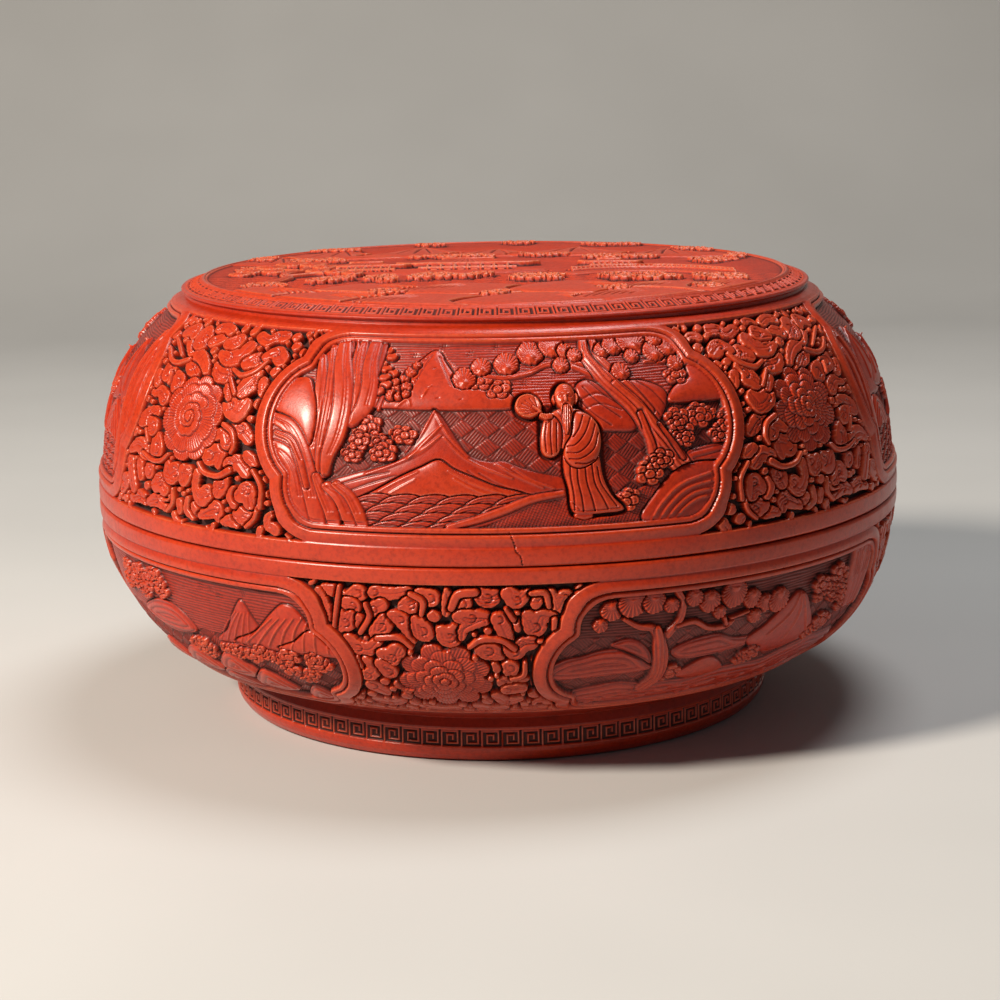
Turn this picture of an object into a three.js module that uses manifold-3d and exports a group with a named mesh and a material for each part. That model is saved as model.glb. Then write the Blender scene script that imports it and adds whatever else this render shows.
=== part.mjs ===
// A round carved cinnabar lacquer box: a low bowl on a foot ring and a domed lid of the same girth.
// Both halves are a turned wooden carcass under a thick carved coat of red lacquer, black lacquer inside.
// Millimetres, +Z up, origin in the middle of the foot's underside, the front towards -Y.
import * as THREE from "three";
import { mergeVertices } from "three/addons/utils/BufferGeometryUtils.js";
import Module from "manifold-3d";

const wasm = await Module();
wasm.setup();

// Overall form
const bodyRadius = 176.8; // the widest circle, where lid and base meet
const seamHeight = 95.5; // top of the base's rim above the table

// Lid wall, heights above the seam
const lidFullness = 48; // how long the wall stays close to upright
const lidShoulderRadius = 166;
const lidShoulderHeight = 67;
const lidCrownRadius = 140.2;
const lidWallHeight = 85.5; // to the cove under the crown moulding

// Foot ring, heights above the table
const footRadius = 119.8;
const neckInset = 1.8; // neck, sole's edge and inner face, each inwards from the foot's radius
const footSoleInset = 4.6;
const footRingWidth = 16.8;
const neckHeight = 18.5;
const neckBendRise = 1.8; // the cove turns down this far above the neck
const footTopHeight = 15.6;
const fretTopHeight = 14.4;
const fretBottomHeight = 6.8;
const fretDepth = 0.6;
const footCurlHeight = 4;
const neckRadius = footRadius - neckInset;
const footSoleRadius = footRadius - footSoleInset;
const footInnerRadius = footRadius - footRingWidth;

// Base wall, heights above the table
const baseFullness = 39.5; // how long the wall stays close to upright under the seam
const baseTuckReach = 17.5; // outwards from the wall's lower end
const baseTuckHeight = 34;
const coveReach = 22.5; // the plain cove, outwards from the neck
const baseWallHeight = 28; // where the carving stops and the cove begins
const baseWallRadius = neckRadius + coveReach;
const baseTuckRadius = baseWallRadius + baseTuckReach;

// Thicknesses and clearances
const coatDepth = 5.5; // red lacquer, carved to most of this
const coreThickness = 7; // wood
const liningThickness = 1.2; // black lacquer
const fitGap = 0.3; // left between neighbouring pieces
const lipClearance = 0.4; // between the lid's lining and the mouth lip
const overrun = 6; // how far a cutting body stands out past the surface it cuts

// Rim bands on either side of the seam
const lidRimHeight = 7.7;
const baseRimHeight = 6.9;
const rimRound = 1;

// Carved zones between the rims
const groundDepth = 2.2; // mean level of the scrolling leaves
const fieldDepth = 4; // floor of a picture panel
const zoneLipHeight = 1.6; // plain lip that closes a zone

// Cartouche frames, four to each half
const panelCount = 4;
const lidWideHalfAngle = 32.7; // degrees, front and back panels, to the middle of the frame at its widest
const lidNarrowHalfAngle = 29.3; // degrees, the lid's side panels
const baseHalfAngle = 31.7; // degrees, all panels of the base
const frameWidth = 7.8;
const frameProud = 0.2; // a frame's crest stands this much over the plain bands
const frameCrestAside = 1.4; // crest from the frame's middle, towards the picture
const frameOuterDepth = 1.5; // the outer slope falls to this depth
const frameInnerDepth = 0.9;
const frameRoot = 1.35; // frames reach this far under the panel floor
const frameFromRim = 4.5; // middle of the frame from the zone's edge at the rim
const frameFromEnd = 4.2; // and from its other edge
const lidTurn = 0.4; // degrees, first lid panel from the front
const baseTurn = 37.4; // degrees, first base panel from the front
const frameCurvePoints = 3; // steps along each lobe

// One side of a frame's middle line, from the top: how far across, and how far down, as shares
const upperLobeShares = [[0.695, 0], [0.8, 0], [0.872, 0.07], [0.876, 0.17]];
const sideLobeShares = [[0.876, 0.17], [1.04, 0.28], [1.04, 0.62], [0.898, 0.757]];
const lowerLobeShares = [[0.898, 0.757], [0.905, 0.88], [0.85, 1], [0.716, 1]];

// Peonies between the frames
const peonyRadius = 18;
const peonyHeartRadius = 10.5;
const petalCount = 6;
const petalNotch = 2.4; // how far the outline dips between petals
const petalSteps = 2;
const peonyDepth = 1; // outer petals under the full surface
const peonyOnLidShare = 0.5; // down the carved zone
const peonyOnBaseShare = 0.52;

// Sprays of leaves above and below a peony, and the main masses of the pictures
const sprayReach = 13; // half its length
const sprayHalfWidth = 8;
const sprayPoints = 6;
const sprayDepth = 0.9; // under the full surface
const hillDepth = 1.9;
const moundRoot = 0.4; // masses reach this far under the panel floor

// A spray's place: how far across the gap's half width, how far down the zone, and its lean in quarter turns
const sprayShares = [[-0.72, 0.17, 0.6], [0.72, 0.17, -0.6], [-0.72, 0.84, -0.5], [0.72, 0.84, 0.5]];

// Outlines of the pictures' masses, as the lobes are given: cliff, hill, leaning pine with rocks
const lidHillShares = [
  [[-0.96, 0.44], [-0.76, 0.05], [-0.56, 0.05], [-0.64, 0.6], [-0.54, 0.94], [-0.78, 0.94]],
  [[-0.6, 0.78], [-0.265, 0.42], [-0.1, 0.62], [0.24, 0.8], [0, 0.92], [-0.42, 0.92]],
  [[0.36, 0.05], [0.48, 0.05], [0.6, 0.4], [0.74, 0.72], [0.92, 0.76], [0.84, 0.94], [0.58, 0.94], [0.6, 0.72]],
];
// On the base: rocks with the pine's trunk, a hill, and the rocks along the foot
const baseHillShares = [
  [[-0.92, 0.6], [-0.74, 0.42], [-0.46, 0.26], [-0.36, 0.62]],
  [[0, 0.6], [0.24, 0.2], [0.46, 0.6]],
  [[-0.78, 0.92], [-0.5, 0.76], [0.3, 0.74], [0.76, 0.88], [0.6, 0.96], [-0.6, 0.96]],
];

// Crown: moulding, sloped key border and domed medallion, heights above the seam
const mouldingInset = 2.6; // from the wall's crown radius
const mouldingBottomHeight = 88.7;
const mouldingTopHeight = 90.2;
const mouldingBackHeight = 87; // bottom of the cove's back
const mouldingRound = 0.5;
const borderInset = 1.6; // from the moulding's edge
const borderWidth = 7.4;
const borderRise = 3.2;
const ringWidth = 1.3;
const ringHeight = 0.6;
const medallionStep = 1.5; // medallion ground under its ring
const domeRise = 2.4;
const crownCoatBottomHeight = 86.5;
const crownCoatSeatInset = 9.6; // from the wall's crown radius
const crownCoveDepth = 1.6;
const crownBandHeight = 2.2;
const mouldingRadius = lidCrownRadius - mouldingInset;
const borderOuterRadius = mouldingRadius - borderInset;
const borderInnerRadius = borderOuterRadius - borderWidth;
const crownCoatSeatRadius = lidCrownRadius - crownCoatSeatInset;

// Boards that close the carcass, each rabbeted into its wall
const lidBoardInset = 8.6; // the flange's edge from the crown coat's seat
const lidBoardRabbetWidth = 6;
const lidBoardBottomHeight = 75; // above the seam
const lidBoardRabbetHeight = 3.3;
const baseBoardOverFoot = 4.7; // how far the floor board reaches over the foot hoop
const baseBoardRabbetWidth = 8.3;
const baseBoardBottomHeight = 22; // above the table
const baseBoardTopHeight = 36;
const baseBoardRabbetHeight = 4;

// Mouth lip that locates the lid
const lipDepth = 12; // down inside the base
const lipRise = 7.5; // above the seam
const lipInset = 6.6; // from the core's inner face to the lip's own
const lipChamfer = 1.2;

// Underside
const undersideThickness = 1.5;

// Boards, each from the seat that carries it
const lidBoardFlangeRadius = crownCoatSeatRadius - lidBoardInset;
const lidBoardRadius = lidBoardFlangeRadius - lidBoardRabbetWidth;
const baseBoardRadius = footInnerRadius + baseBoardOverFoot;
const baseBoardFlangeRadius = baseBoardRadius + baseBoardRabbetWidth;

// Roundness
const roundSteps = 36; // facets round the box
const wallSteps = 5; // along a carved wall
const hiddenSteps = 3; // along a wall that the carving covers
const coveSteps = 2; // along the plain cove above the neck

const redLacquer = new THREE.MeshStandardMaterial({ color: 0xb8371f, roughness: 0.35, metalness: 0 });
const blackLacquer = new THREE.MeshStandardMaterial({ color: 0x17110f, roughness: 0.25, metalness: 0 });
const bareWood = new THREE.MeshStandardMaterial({ color: 0x8a6a48, roughness: 0.7, metalness: 0 });

const point = (radius, height) => new THREE.Vector2(radius, height);

// A closed body turned from a profile of [radius, height] points.
function turned(profile) {
  const loop = profile.map((p) => p.clone());
  const onAxis = loop[0].x === 0;
  const ring = onAxis ? [...loop, point(0, 0)] : loop;
  if (THREE.ShapeUtils.area(ring) < 0) loop.reverse();
  const closed = onAxis ? loop : [...loop, loop[0].clone()];
  return new THREE.LatheGeometry(closed, roundSteps).rotateX(Math.PI / 2);
}

function solidOf(geometry) {
  const bare = geometry.index ? geometry.toNonIndexed() : geometry.clone();
  bare.deleteAttribute("normal");
  bare.deleteAttribute("uv");
  const merged = mergeVertices(bare);
  return new wasm.Manifold(
    new wasm.Mesh({
      numProp: 3,
      vertProperties: new Float32Array(merged.attributes.position.array),
      triVerts: new Uint32Array(merged.index.array),
    }),
  );
}

function geometryOf(solid) {
  const mesh = solid.getMesh();
  const geometry = new THREE.BufferGeometry();
  geometry.setAttribute("position", new THREE.BufferAttribute(mesh.vertProperties, 3));
  geometry.setIndex(new THREE.BufferAttribute(mesh.triVerts, 1));
  return geometry;
}

// The outer walls, each read from the seam outwards to its far end, and the cove that follows the base's.
const lidWall = new THREE.CubicBezierCurve(
  point(bodyRadius, seamHeight),
  point(bodyRadius, seamHeight + lidFullness),
  point(lidShoulderRadius, seamHeight + lidShoulderHeight),
  point(lidCrownRadius, seamHeight + lidWallHeight),
);
const baseWall = new THREE.CubicBezierCurve(
  point(bodyRadius, seamHeight),
  point(bodyRadius, seamHeight - baseFullness),
  point(baseTuckRadius, baseTuckHeight),
  point(baseWallRadius, baseWallHeight),
);
const neckCove = new THREE.QuadraticBezierCurve(
  point(baseWallRadius, baseWallHeight),
  point(neckRadius, neckHeight + fitGap + neckBendRise),
  point(neckRadius, neckHeight + fitGap),
);

// A point of a wall at a share of its length, moved inwards by a depth.
function onWall(curve, share, depth) {
  const place = curve.getPointAt(share);
  const along = curve.getTangentAt(share);
  const inward = curve === lidWall ? point(-along.y, along.x) : point(along.y, -along.x);
  return place.addScaledVector(inward, depth);
}

function wallLine(curve, from, to, depth, steps) {
  return Array.from({ length: steps + 1 }, (_, i) => onWall(curve, from + ((to - from) * i) / steps, depth));
}

// Hidden faces of each half at a depth under its outer surface, from the seam outwards.
function lidSkin(depth) {
  return wallLine(lidWall, 0, 1, depth, hiddenSteps);
}

function baseSkin(depth) {
  return [
    ...wallLine(baseWall, 0, 1, depth, hiddenSteps),
    ...wallLine(neckCove, 0, 1, depth, coveSteps).slice(1),
  ];
}

// The stretch of a hidden face between two heights, run on straight where it is too short.
function between(line, fromHeight, toHeight) {
  const rising = toHeight > fromHeight;
  const passed = (p, height) => (rising ? p.y >= height : p.y <= height);
  const crossing = (height) => {
    const found = line.findIndex((p, i) => i > 0 && passed(p, height));
    const i = found < 0 ? line.length - 1 : found;
    const share = (height - line[i - 1].y) / (line[i].y - line[i - 1].y);
    return line[i - 1].clone().lerp(line[i], share);
  };
  const inner = line.filter((p) => passed(p, fromHeight) && !passed(p, toHeight));
  const kept = inner.filter((p) => p.y !== fromHeight);
  return [crossing(fromHeight), ...kept, crossing(toHeight)];
}

// Share of a wall's length at a given height.
function shareAt(curve, height) {
  let low = 0;
  let high = 1;
  const rising = curve.getPointAt(1).y > curve.getPointAt(0).y;
  for (let i = 0; i < 40; i++) {
    const middle = (low + high) / 2;
    if (curve.getPointAt(middle).y < height === rising) low = middle;
    else high = middle;
  }
  return (low + high) / 2;
}

// The carved zone of each half: its wall, the shares at its rim edge and its upper edge, which way down runs,
// how far from that upper edge its frames' middle lies, and its panels' turn and half angles.
const lidZone = {
  curve: lidWall,
  from: shareAt(lidWall, seamHeight + lidRimHeight),
  top: 1,
  downwards: -1,
  frameFromTop: frameFromEnd,
  turn: lidTurn,
  halfAngles: [lidWideHalfAngle, lidNarrowHalfAngle],
  peonyShare: peonyOnLidShare,
  hillShares: lidHillShares,
};
const baseFrom = shareAt(baseWall, seamHeight - baseRimHeight);
const baseZone = {
  curve: baseWall,
  from: baseFrom,
  top: baseFrom,
  downwards: 1,
  frameFromTop: frameFromRim,
  turn: baseTurn,
  halfAngles: [baseHalfAngle, baseHalfAngle],
  peonyShare: peonyOnBaseShare,
  hillShares: baseHillShares,
};

// A ring that follows a zone between two depths, used to trim carved forms to the wall's curve.
function zoneRing(zone, outerDepth, innerDepth) {
  const outside = wallLine(zone.curve, zone.from, 1, outerDepth, wallSteps);
  const inside = wallLine(zone.curve, zone.from, 1, innerDepth, wallSteps);
  return solidOf(turned([...outside, ...inside.reverse()]));
}

// A body that stands on a flat front outline and points straight out through the wall.
function frontPrism(outline) {
  const reach = bodyRadius + overrun;
  const block = new THREE.ExtrudeGeometry(new THREE.Shape(outline), { depth: reach, bevelEnabled: false });
  return solidOf(block.rotateX(Math.PI / 2));
}

function zoneLength(zone) {
  return zone.curve.getLength() * (1 - zone.from);
}

// A frame's middle line as points of [arc across, arc down from the zone's upper edge], one full loop.
function frameLine(zone, halfAngle) {
  const upsideDown = zone === baseZone;
  const tall = zoneLength(zone) - frameFromRim - frameFromEnd;
  const wide = THREE.MathUtils.degToRad(halfAngle) * bodyRadius;
  const side = [upperLobeShares, sideLobeShares, lowerLobeShares].flatMap((lobe, n) => {
    const curve = new THREE.CubicBezierCurve(...lobe.map(([x, y]) => point(x, upsideDown ? 1 - y : y)));
    return curve.getPoints(frameCurvePoints).slice(n ? 1 : 0);
  });
  if (upsideDown) side.reverse();
  const right = side.map((p) => point(p.x * wide, p.y * tall + zone.frameFromTop));
  const left = right.map((p) => point(-p.x, p.y)).reverse();
  return [...right, ...spread(right.at(-1), left[0]), ...left, ...spread(left.at(-1), right[0])];
}

// Points between two ends of a straight stretch, so that it can bend round the wall.
function spread(from, to) {
  const steps = Math.ceil((from.distanceTo(to) * roundSteps) / (2 * Math.PI * bodyRadius));
  return Array.from({ length: steps - 1 }, (_, i) => from.clone().lerp(to, (i + 1) / steps));
}

// A loop of points moved sideways by a distance, outwards when it is positive.
function movedLoop(loop, distance) {
  return loop.map((p, i) => {
    const before = loop[(i + loop.length - 1) % loop.length];
    const after = loop[(i + 1) % loop.length];
    const along = after.clone().sub(before).normalize();
    return point(p.x + along.y * distance, p.y - along.x * distance);
  });
}

// The place on a wall of an arc point, at a depth, as [radius, height].
function wallPlace(zone, p, depth) {
  const share = zone.top + (zone.downwards * p.y) / zone.curve.getLength();
  return onWall(zone.curve, THREE.MathUtils.clamp(share, 0, 1), depth);
}

// Arc points as a flat front outline, taken at a depth.
function flattened(zone, loop, depth) {
  return loop.map((p) => {
    const place = wallPlace(zone, p, depth);
    return point(place.x * Math.sin(p.x / bodyRadius), place.y);
  });
}

// A band along a closed loop of arc points, bent onto the wall: a ring whose corners are moved into place.
function wrappedBand(zone, loop, width) {
  const deep = fieldDepth + frameRoot;
  const corners = [
    [width / 2, frameOuterDepth],
    [width / 2, deep],
    [-width / 2, deep],
    [-width / 2, frameInnerDepth],
    [-frameCrestAside, -frameProud],
  ];
  const ring = new THREE.TorusGeometry(bodyRadius, width, corners.length, loop.length);
  const places = ring.attributes.position;
  corners.push(corners[0]);
  corners.forEach(([aside, depth], j) => {
    const edge = movedLoop(loop, aside);
    for (let i = 0; i <= loop.length; i++) {
      const p = edge[i % loop.length];
      const place = wallPlace(zone, p, depth);
      const angle = p.x / bodyRadius;
      const index = j * (loop.length + 1) + i;
      places.setXYZ(index, place.x * Math.sin(angle), -place.x * Math.cos(angle), place.y);
    }
  });
  return solidOf(ring);
}

function petalOutline(zone, radius) {
  const middle = zoneLength(zone) * zone.peonyShare;
  const steps = petalCount * petalSteps;
  return Array.from({ length: steps }, (_, i) => {
    const angle = (2 * Math.PI * i) / steps;
    const dip = petalNotch * (1 - Math.abs(Math.sin((petalCount * angle) / 2)));
    return point((radius - dip) * Math.cos(angle), middle + (radius - dip) * Math.sin(angle));
  });
}

// A spray of leaves as a leaning oval of arc points.
function sprayOutline(zone, [across, down, lean]) {
  const gap = (Math.PI / panelCount - THREE.MathUtils.degToRad(Math.min(...zone.halfAngles))) * bodyRadius;
  const middle = point(across * gap, zoneLength(zone) * down);
  return Array.from({ length: sprayPoints }, (_, i) => {
    const angle = (2 * Math.PI * i) / sprayPoints;
    const edge = point(sprayReach * Math.cos(angle), sprayHalfWidth * Math.sin(angle));
    return edge.rotateAround(point(0, 0), (lean * Math.PI) / 2).add(middle);
  });
}

// A mass of a picture as a loop of arc points inside its frame.
function hillOutline(zone, halfAngle, shares) {
  const tall = zoneLength(zone) - frameFromRim - frameFromEnd;
  const wide = THREE.MathUtils.degToRad(halfAngle) * bodyRadius;
  return shares.map(([x, y]) => point(x * wide, y * tall + zone.frameFromTop));
}

// A form that stands on an outline, from a root up to a depth under the full surface.
function mound(zone, loop, depth, root) {
  return frontPrism(flattened(zone, loop, depth)).intersect(zoneRing(zone, depth, root));
}

// A solid turned about the axis by an angle in degrees plus some panels' steps.
function turnedBy(solid, first, steps) {
  return solid.rotate([0, 0, first + (360 * steps) / panelCount]);
}

// Cuts the picture fields into a coat and sets the frames, masses, peonies and sprays on it.
function carved(coat, zone) {
  const panels = zone.halfAngles.map((halfAngle) => {
    const middle = frameLine(zone, halfAngle);
    const outline = flattened(zone, middle, fieldDepth);
    const masses = zone.hillShares.map((shares) => hillOutline(zone, halfAngle, shares));
    return {
      frame: wrappedBand(zone, middle, frameWidth),
      field: frontPrism(outline).intersect(zoneRing(zone, -overrun, fieldDepth)),
      hills: wasm.Manifold.union(masses.map((loop) => mound(zone, loop, hillDepth, fieldDepth + moundRoot))),
    };
  });
  const leaves = wasm.Manifold.union([
    mound(zone, petalOutline(zone, peonyRadius), peonyDepth, fieldDepth),
    mound(zone, petalOutline(zone, peonyHeartRadius), 0, fieldDepth),
    ...sprayShares.map((spray) => mound(zone, sprayOutline(zone, spray), sprayDepth, fieldDepth)),
  ]);
  const [first, second] = zone.halfAngles;
  let made = coat;
  for (let i = 0; i < panelCount; i++) {
    const { frame, field, hills } = panels[i % panels.length];
    const aside = (i % panels.length ? second - first : first - second) / 2;
    made = made.subtract(turnedBy(field, zone.turn, i));
    made = made.add(turnedBy(hills, zone.turn, i));
    made = made.add(turnedBy(frame, zone.turn, i));
    made = made.add(turnedBy(leaves, zone.turn + 180 / panelCount + aside, i));
  }
  return geometryOf(made);
}

// Lid coat: rim band, carved zone, band and cove under the crown.
function lidCarvedCoat() {
  const foot = seamHeight + fitGap;
  const top = seamHeight + mouldingBottomHeight - fitGap;
  const length = lidWall.getLength();
  const ground = lidZone.from + zoneLipHeight / 2 / length;
  const band = 1 - crownBandHeight / length;
  const outside = [
    point(bodyRadius - rimRound, foot),
    point(bodyRadius, foot + rimRound),
    onWall(lidWall, lidZone.from, 0),
    ...wallLine(lidWall, ground, band, groundDepth, wallSteps),
    onWall(lidWall, band, 0),
    point(lidCrownRadius, seamHeight + lidWallHeight),
    point(mouldingRadius - crownCoveDepth, seamHeight + mouldingBackHeight),
    point(mouldingRadius - crownCoveDepth, top),
    point(crownCoatSeatRadius + fitGap, top),
    point(crownCoatSeatRadius + fitGap, seamHeight + crownCoatBottomHeight),
  ];
  const inside = between(lidSkin(coatDepth), foot, seamHeight + crownCoatBottomHeight);
  return carved(solidOf(turned([...outside, ...inside.reverse()])), lidZone);
}

// Base coat: rim band, carved zone, and the plain cove that runs down to the neck.
function baseCarvedCoat() {
  const lip = zoneLipHeight / baseWall.getLength();
  const outside = [
    point(bodyRadius - rimRound, seamHeight),
    point(bodyRadius, seamHeight - rimRound),
    onWall(baseWall, baseZone.from, 0),
    ...wallLine(baseWall, baseZone.from + lip / 2, 1 - lip, groundDepth, wallSteps),
    onWall(baseWall, 1 - lip, 0),
    ...wallLine(neckCove, 0, 1, 0, hiddenSteps),
  ];
  const outline = [...outside, ...baseSkin(coatDepth).reverse()];
  return carved(solidOf(turned(outline)), baseZone);
}

// Foot coat: the red skin round the foot ring, with the fret band sunk in it.
function footCoat() {
  const back = neckRadius - coatDepth;
  return turned([
    point(back, 0),
    point(footSoleRadius, 0),
    point(footRadius - rimRound, footCurlHeight),
    point(footRadius, fretBottomHeight - fretDepth),
    point(footRadius - fretDepth, fretBottomHeight),
    point(footRadius - fretDepth, fretTopHeight),
    point(footRadius, fretTopHeight + fretDepth),
    point(footRadius, footTopHeight),
    point(neckRadius, neckHeight),
    point(back, neckHeight),
  ]);
}

function footHoopCore() {
  const outside = neckRadius - coatDepth - fitGap;
  return turned([
    point(footInnerRadius, 0),
    point(outside, 0),
    point(outside, neckHeight),
    point(footInnerRadius, neckHeight),
  ]);
}

// Wooden wall of the base, from the rim down to the rabbet that holds the floor board.
function baseWallCore() {
  const skin = coatDepth + fitGap;
  const top = seamHeight - fitGap;
  const shelf = baseBoardBottomHeight + baseBoardRabbetHeight - fitGap;
  const foot = neckHeight + fitGap;
  return turned([
    ...between(baseSkin(skin), top, foot),
    point(baseBoardRadius + fitGap, foot),
    point(baseBoardRadius + fitGap, shelf),
    point(baseBoardFlangeRadius + fitGap, shelf),
    point(baseBoardFlangeRadius + fitGap, baseBoardTopHeight),
    ...between(baseSkin(skin + coreThickness), top, baseBoardTopHeight).reverse(),
  ]);
}

function baseFloorBoard() {
  const step = baseBoardBottomHeight + baseBoardRabbetHeight;
  return turned([
    point(0, baseBoardBottomHeight),
    point(baseBoardRadius, baseBoardBottomHeight),
    point(baseBoardRadius, step),
    point(baseBoardFlangeRadius, step),
    point(baseBoardFlangeRadius, baseBoardTopHeight),
    point(0, baseBoardTopHeight),
  ]);
}

// Black lining of the base: over the floor and up the wall to the lip.
function baseLining() {
  const skin = coatDepth + coreThickness + 2 * fitGap;
  const low = baseBoardTopHeight + fitGap;
  const high = seamHeight - lipDepth - fitGap;
  return turned([
    point(0, low),
    ...between(baseSkin(skin), high, low).reverse(),
    ...between(baseSkin(skin + liningThickness), high, low + liningThickness),
    point(0, low + liningThickness),
  ]);
}

// Lip that stands up inside the mouth and keeps the lid in place.
function baseMouthLip() {
  const skin = coatDepth + coreThickness + 2 * fitGap;
  const top = seamHeight + lipRise;
  const lidFace = between(lidSkin(skin + liningThickness), seamHeight, top).at(-1).x;
  const seat = between(baseSkin(skin), seamHeight - fitGap, seamHeight - lipDepth);
  const shoulder = lidFace - lipClearance;
  const inner = seat[0].x - lipInset;
  return turned([
    ...seat.reverse(),
    point(shoulder, seamHeight - fitGap),
    point(shoulder, top - lipChamfer),
    point(shoulder - lipChamfer, top),
    point(inner, top),
    point(inner, seamHeight - lipDepth),
  ]);
}

// Black lacquer under the floor board, inside the foot ring.
function undersideCoat() {
  const top = baseBoardBottomHeight - fitGap;
  return turned([
    point(0, top - undersideThickness),
    point(footInnerRadius - fitGap, top - undersideThickness),
    point(footInnerRadius - fitGap, top),
    point(0, top),
  ]);
}

// Wooden wall of the lid, from the rim up to the rabbet that holds the top board.
function lidWallCore() {
  const skin = coatDepth + fitGap;
  const foot = seamHeight + fitGap;
  const top = seamHeight + crownCoatBottomHeight - fitGap;
  const shelf = seamHeight + lidBoardBottomHeight;
  const rabbet = shelf + lidBoardRabbetHeight;
  return turned([
    ...between(lidSkin(skin), foot, top),
    point(lidBoardFlangeRadius + fitGap, top),
    point(lidBoardFlangeRadius + fitGap, rabbet),
    point(lidBoardRadius + fitGap, rabbet),
    point(lidBoardRadius + fitGap, shelf),
    ...between(lidSkin(skin + coreThickness), foot, shelf).reverse(),
  ]);
}

function lidTopBoard() {
  const bottom = seamHeight + lidBoardBottomHeight;
  const step = bottom + lidBoardRabbetHeight + fitGap;
  const top = seamHeight + crownCoatBottomHeight - fitGap;
  return turned([
    point(0, bottom),
    point(lidBoardRadius, bottom),
    point(lidBoardRadius, step),
    point(lidBoardFlangeRadius, step),
    point(lidBoardFlangeRadius, top),
    point(0, top),
  ]);
}

// Black lining of the lid: up the wall and across the ceiling.
function lidLining() {
  const skin = coatDepth + coreThickness + 2 * fitGap;
  const foot = seamHeight + fitGap;
  const high = seamHeight + lidBoardBottomHeight - fitGap;
  return turned([
    point(0, high),
    ...between(lidSkin(skin), foot, high).reverse(),
    ...between(lidSkin(skin + liningThickness), foot, high - liningThickness),
    point(0, high - liningThickness),
  ]);
}

// Crown coat: moulding, sloped border, ring and domed medallion in one layer of lacquer.
function lidCrownCoat() {
  const bottom = seamHeight + crownCoatBottomHeight;
  const edgeBottom = seamHeight + mouldingBottomHeight;
  const edgeTop = seamHeight + mouldingTopHeight;
  const ringTop = edgeTop + borderRise + ringHeight;
  const ringInner = borderInnerRadius - ringWidth;
  const ground = ringTop - medallionStep;
  const domeRadius = (ringInner ** 2 + domeRise ** 2) / (2 * domeRise);
  const dome = [0, 1 / 3, 2 / 3].map((share) => {
    const radius = ringInner * share;
    return point(radius, ground + domeRise - domeRadius + Math.sqrt(domeRadius ** 2 - radius ** 2));
  });
  return turned([
    ...dome,
    point(ringInner - medallionStep / 2, ground),
    point(ringInner, ringTop),
    point(borderInnerRadius, ringTop),
    point(borderInnerRadius, ringTop - ringHeight),
    point(borderOuterRadius, edgeTop),
    point(mouldingRadius - mouldingRound, edgeTop),
    point(mouldingRadius, edgeTop - mouldingRound),
    point(mouldingRadius, edgeBottom),
    point(crownCoatSeatRadius, edgeBottom),
    point(crownCoatSeatRadius, bottom),
    point(0, bottom),
  ]);
}

const box = new THREE.Group();

function place(group, name, geometry, material) {
  const mesh = new THREE.Mesh(geometry, material.clone());
  mesh.name = name;
  group.add(mesh);
}

const base = new THREE.Group();
place(base, "base_wall_core", baseWallCore(), bareWood);
place(base, "base_floor_board", baseFloorBoard(), bareWood);
place(base, "foot_hoop_core", footHoopCore(), bareWood);
place(base, "base_mouth_lip", baseMouthLip(), blackLacquer);
place(base, "base_lining", baseLining(), blackLacquer);
place(base, "underside_coat", undersideCoat(), blackLacquer);
place(base, "base_carved_coat", baseCarvedCoat(), redLacquer);
place(base, "foot_coat", footCoat(), redLacquer);

const lid = new THREE.Group();
place(lid, "lid_wall_core", lidWallCore(), bareWood);
place(lid, "lid_top_board", lidTopBoard(), bareWood);
place(lid, "lid_lining", lidLining(), blackLacquer);
place(lid, "lid_carved_coat", lidCarvedCoat(), redLacquer);
place(lid, "lid_crown_coat", lidCrownCoat(), redLacquer);

box.add(base, lid);

export default box;
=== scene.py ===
import math
import bpy
import numpy as np
from mathutils import Matrix, Vector


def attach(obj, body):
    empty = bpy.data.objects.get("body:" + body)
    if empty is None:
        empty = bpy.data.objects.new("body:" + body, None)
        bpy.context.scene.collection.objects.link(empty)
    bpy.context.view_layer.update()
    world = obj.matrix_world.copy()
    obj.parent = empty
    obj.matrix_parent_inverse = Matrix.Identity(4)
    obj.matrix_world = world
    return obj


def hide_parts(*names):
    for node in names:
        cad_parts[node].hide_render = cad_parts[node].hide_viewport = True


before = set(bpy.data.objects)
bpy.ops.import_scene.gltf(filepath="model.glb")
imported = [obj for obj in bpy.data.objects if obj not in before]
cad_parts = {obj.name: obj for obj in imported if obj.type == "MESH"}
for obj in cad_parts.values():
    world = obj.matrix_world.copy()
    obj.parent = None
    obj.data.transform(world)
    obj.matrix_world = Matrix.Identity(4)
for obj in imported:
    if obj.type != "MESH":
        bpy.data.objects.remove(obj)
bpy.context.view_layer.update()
mm = 0.001
grain = 0.33  # mm between the points of a carved surface
seam = 95.5
arcRadius = 165.0  # arcs across a wall are measured on this radius, in mm

# Each half in mm: control points (radius, height) of its wall from the seam outwards, its plain rim band, the
# turn of its first panel and the half angles of its panels in degrees, its peonies' height and radius
halves = {
    "lid": {"profile": [(176.8, seam), (176.8, 143.5), (166, 162.5), (140.2, 181)], "outwards": 1,
            "rim": 7.7, "turn": 0.4, "halfAngles": (32.7, 29.3), "peonyHeight": 50.6, "peonyRadius": 18.4},
    "base": {"profile": [(176.8, seam), (176.8, 56), (158, 34), (140.5, 28)], "outwards": -1, "rim": 6.9,
             "turn": 37.4, "halfAngles": (31.7, 31.7), "peonyHeight": 51.0, "peonyRadius": 19.0},
}


def bezier(points, count):
    t = np.linspace(0, 1, count)[:, None]
    line = [np.array(p, float) for p in points]
    while len(line) > 1:
        line = [a * (1 - t) + b * t for a, b in zip(line, line[1:])]
    return line[0]


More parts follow.
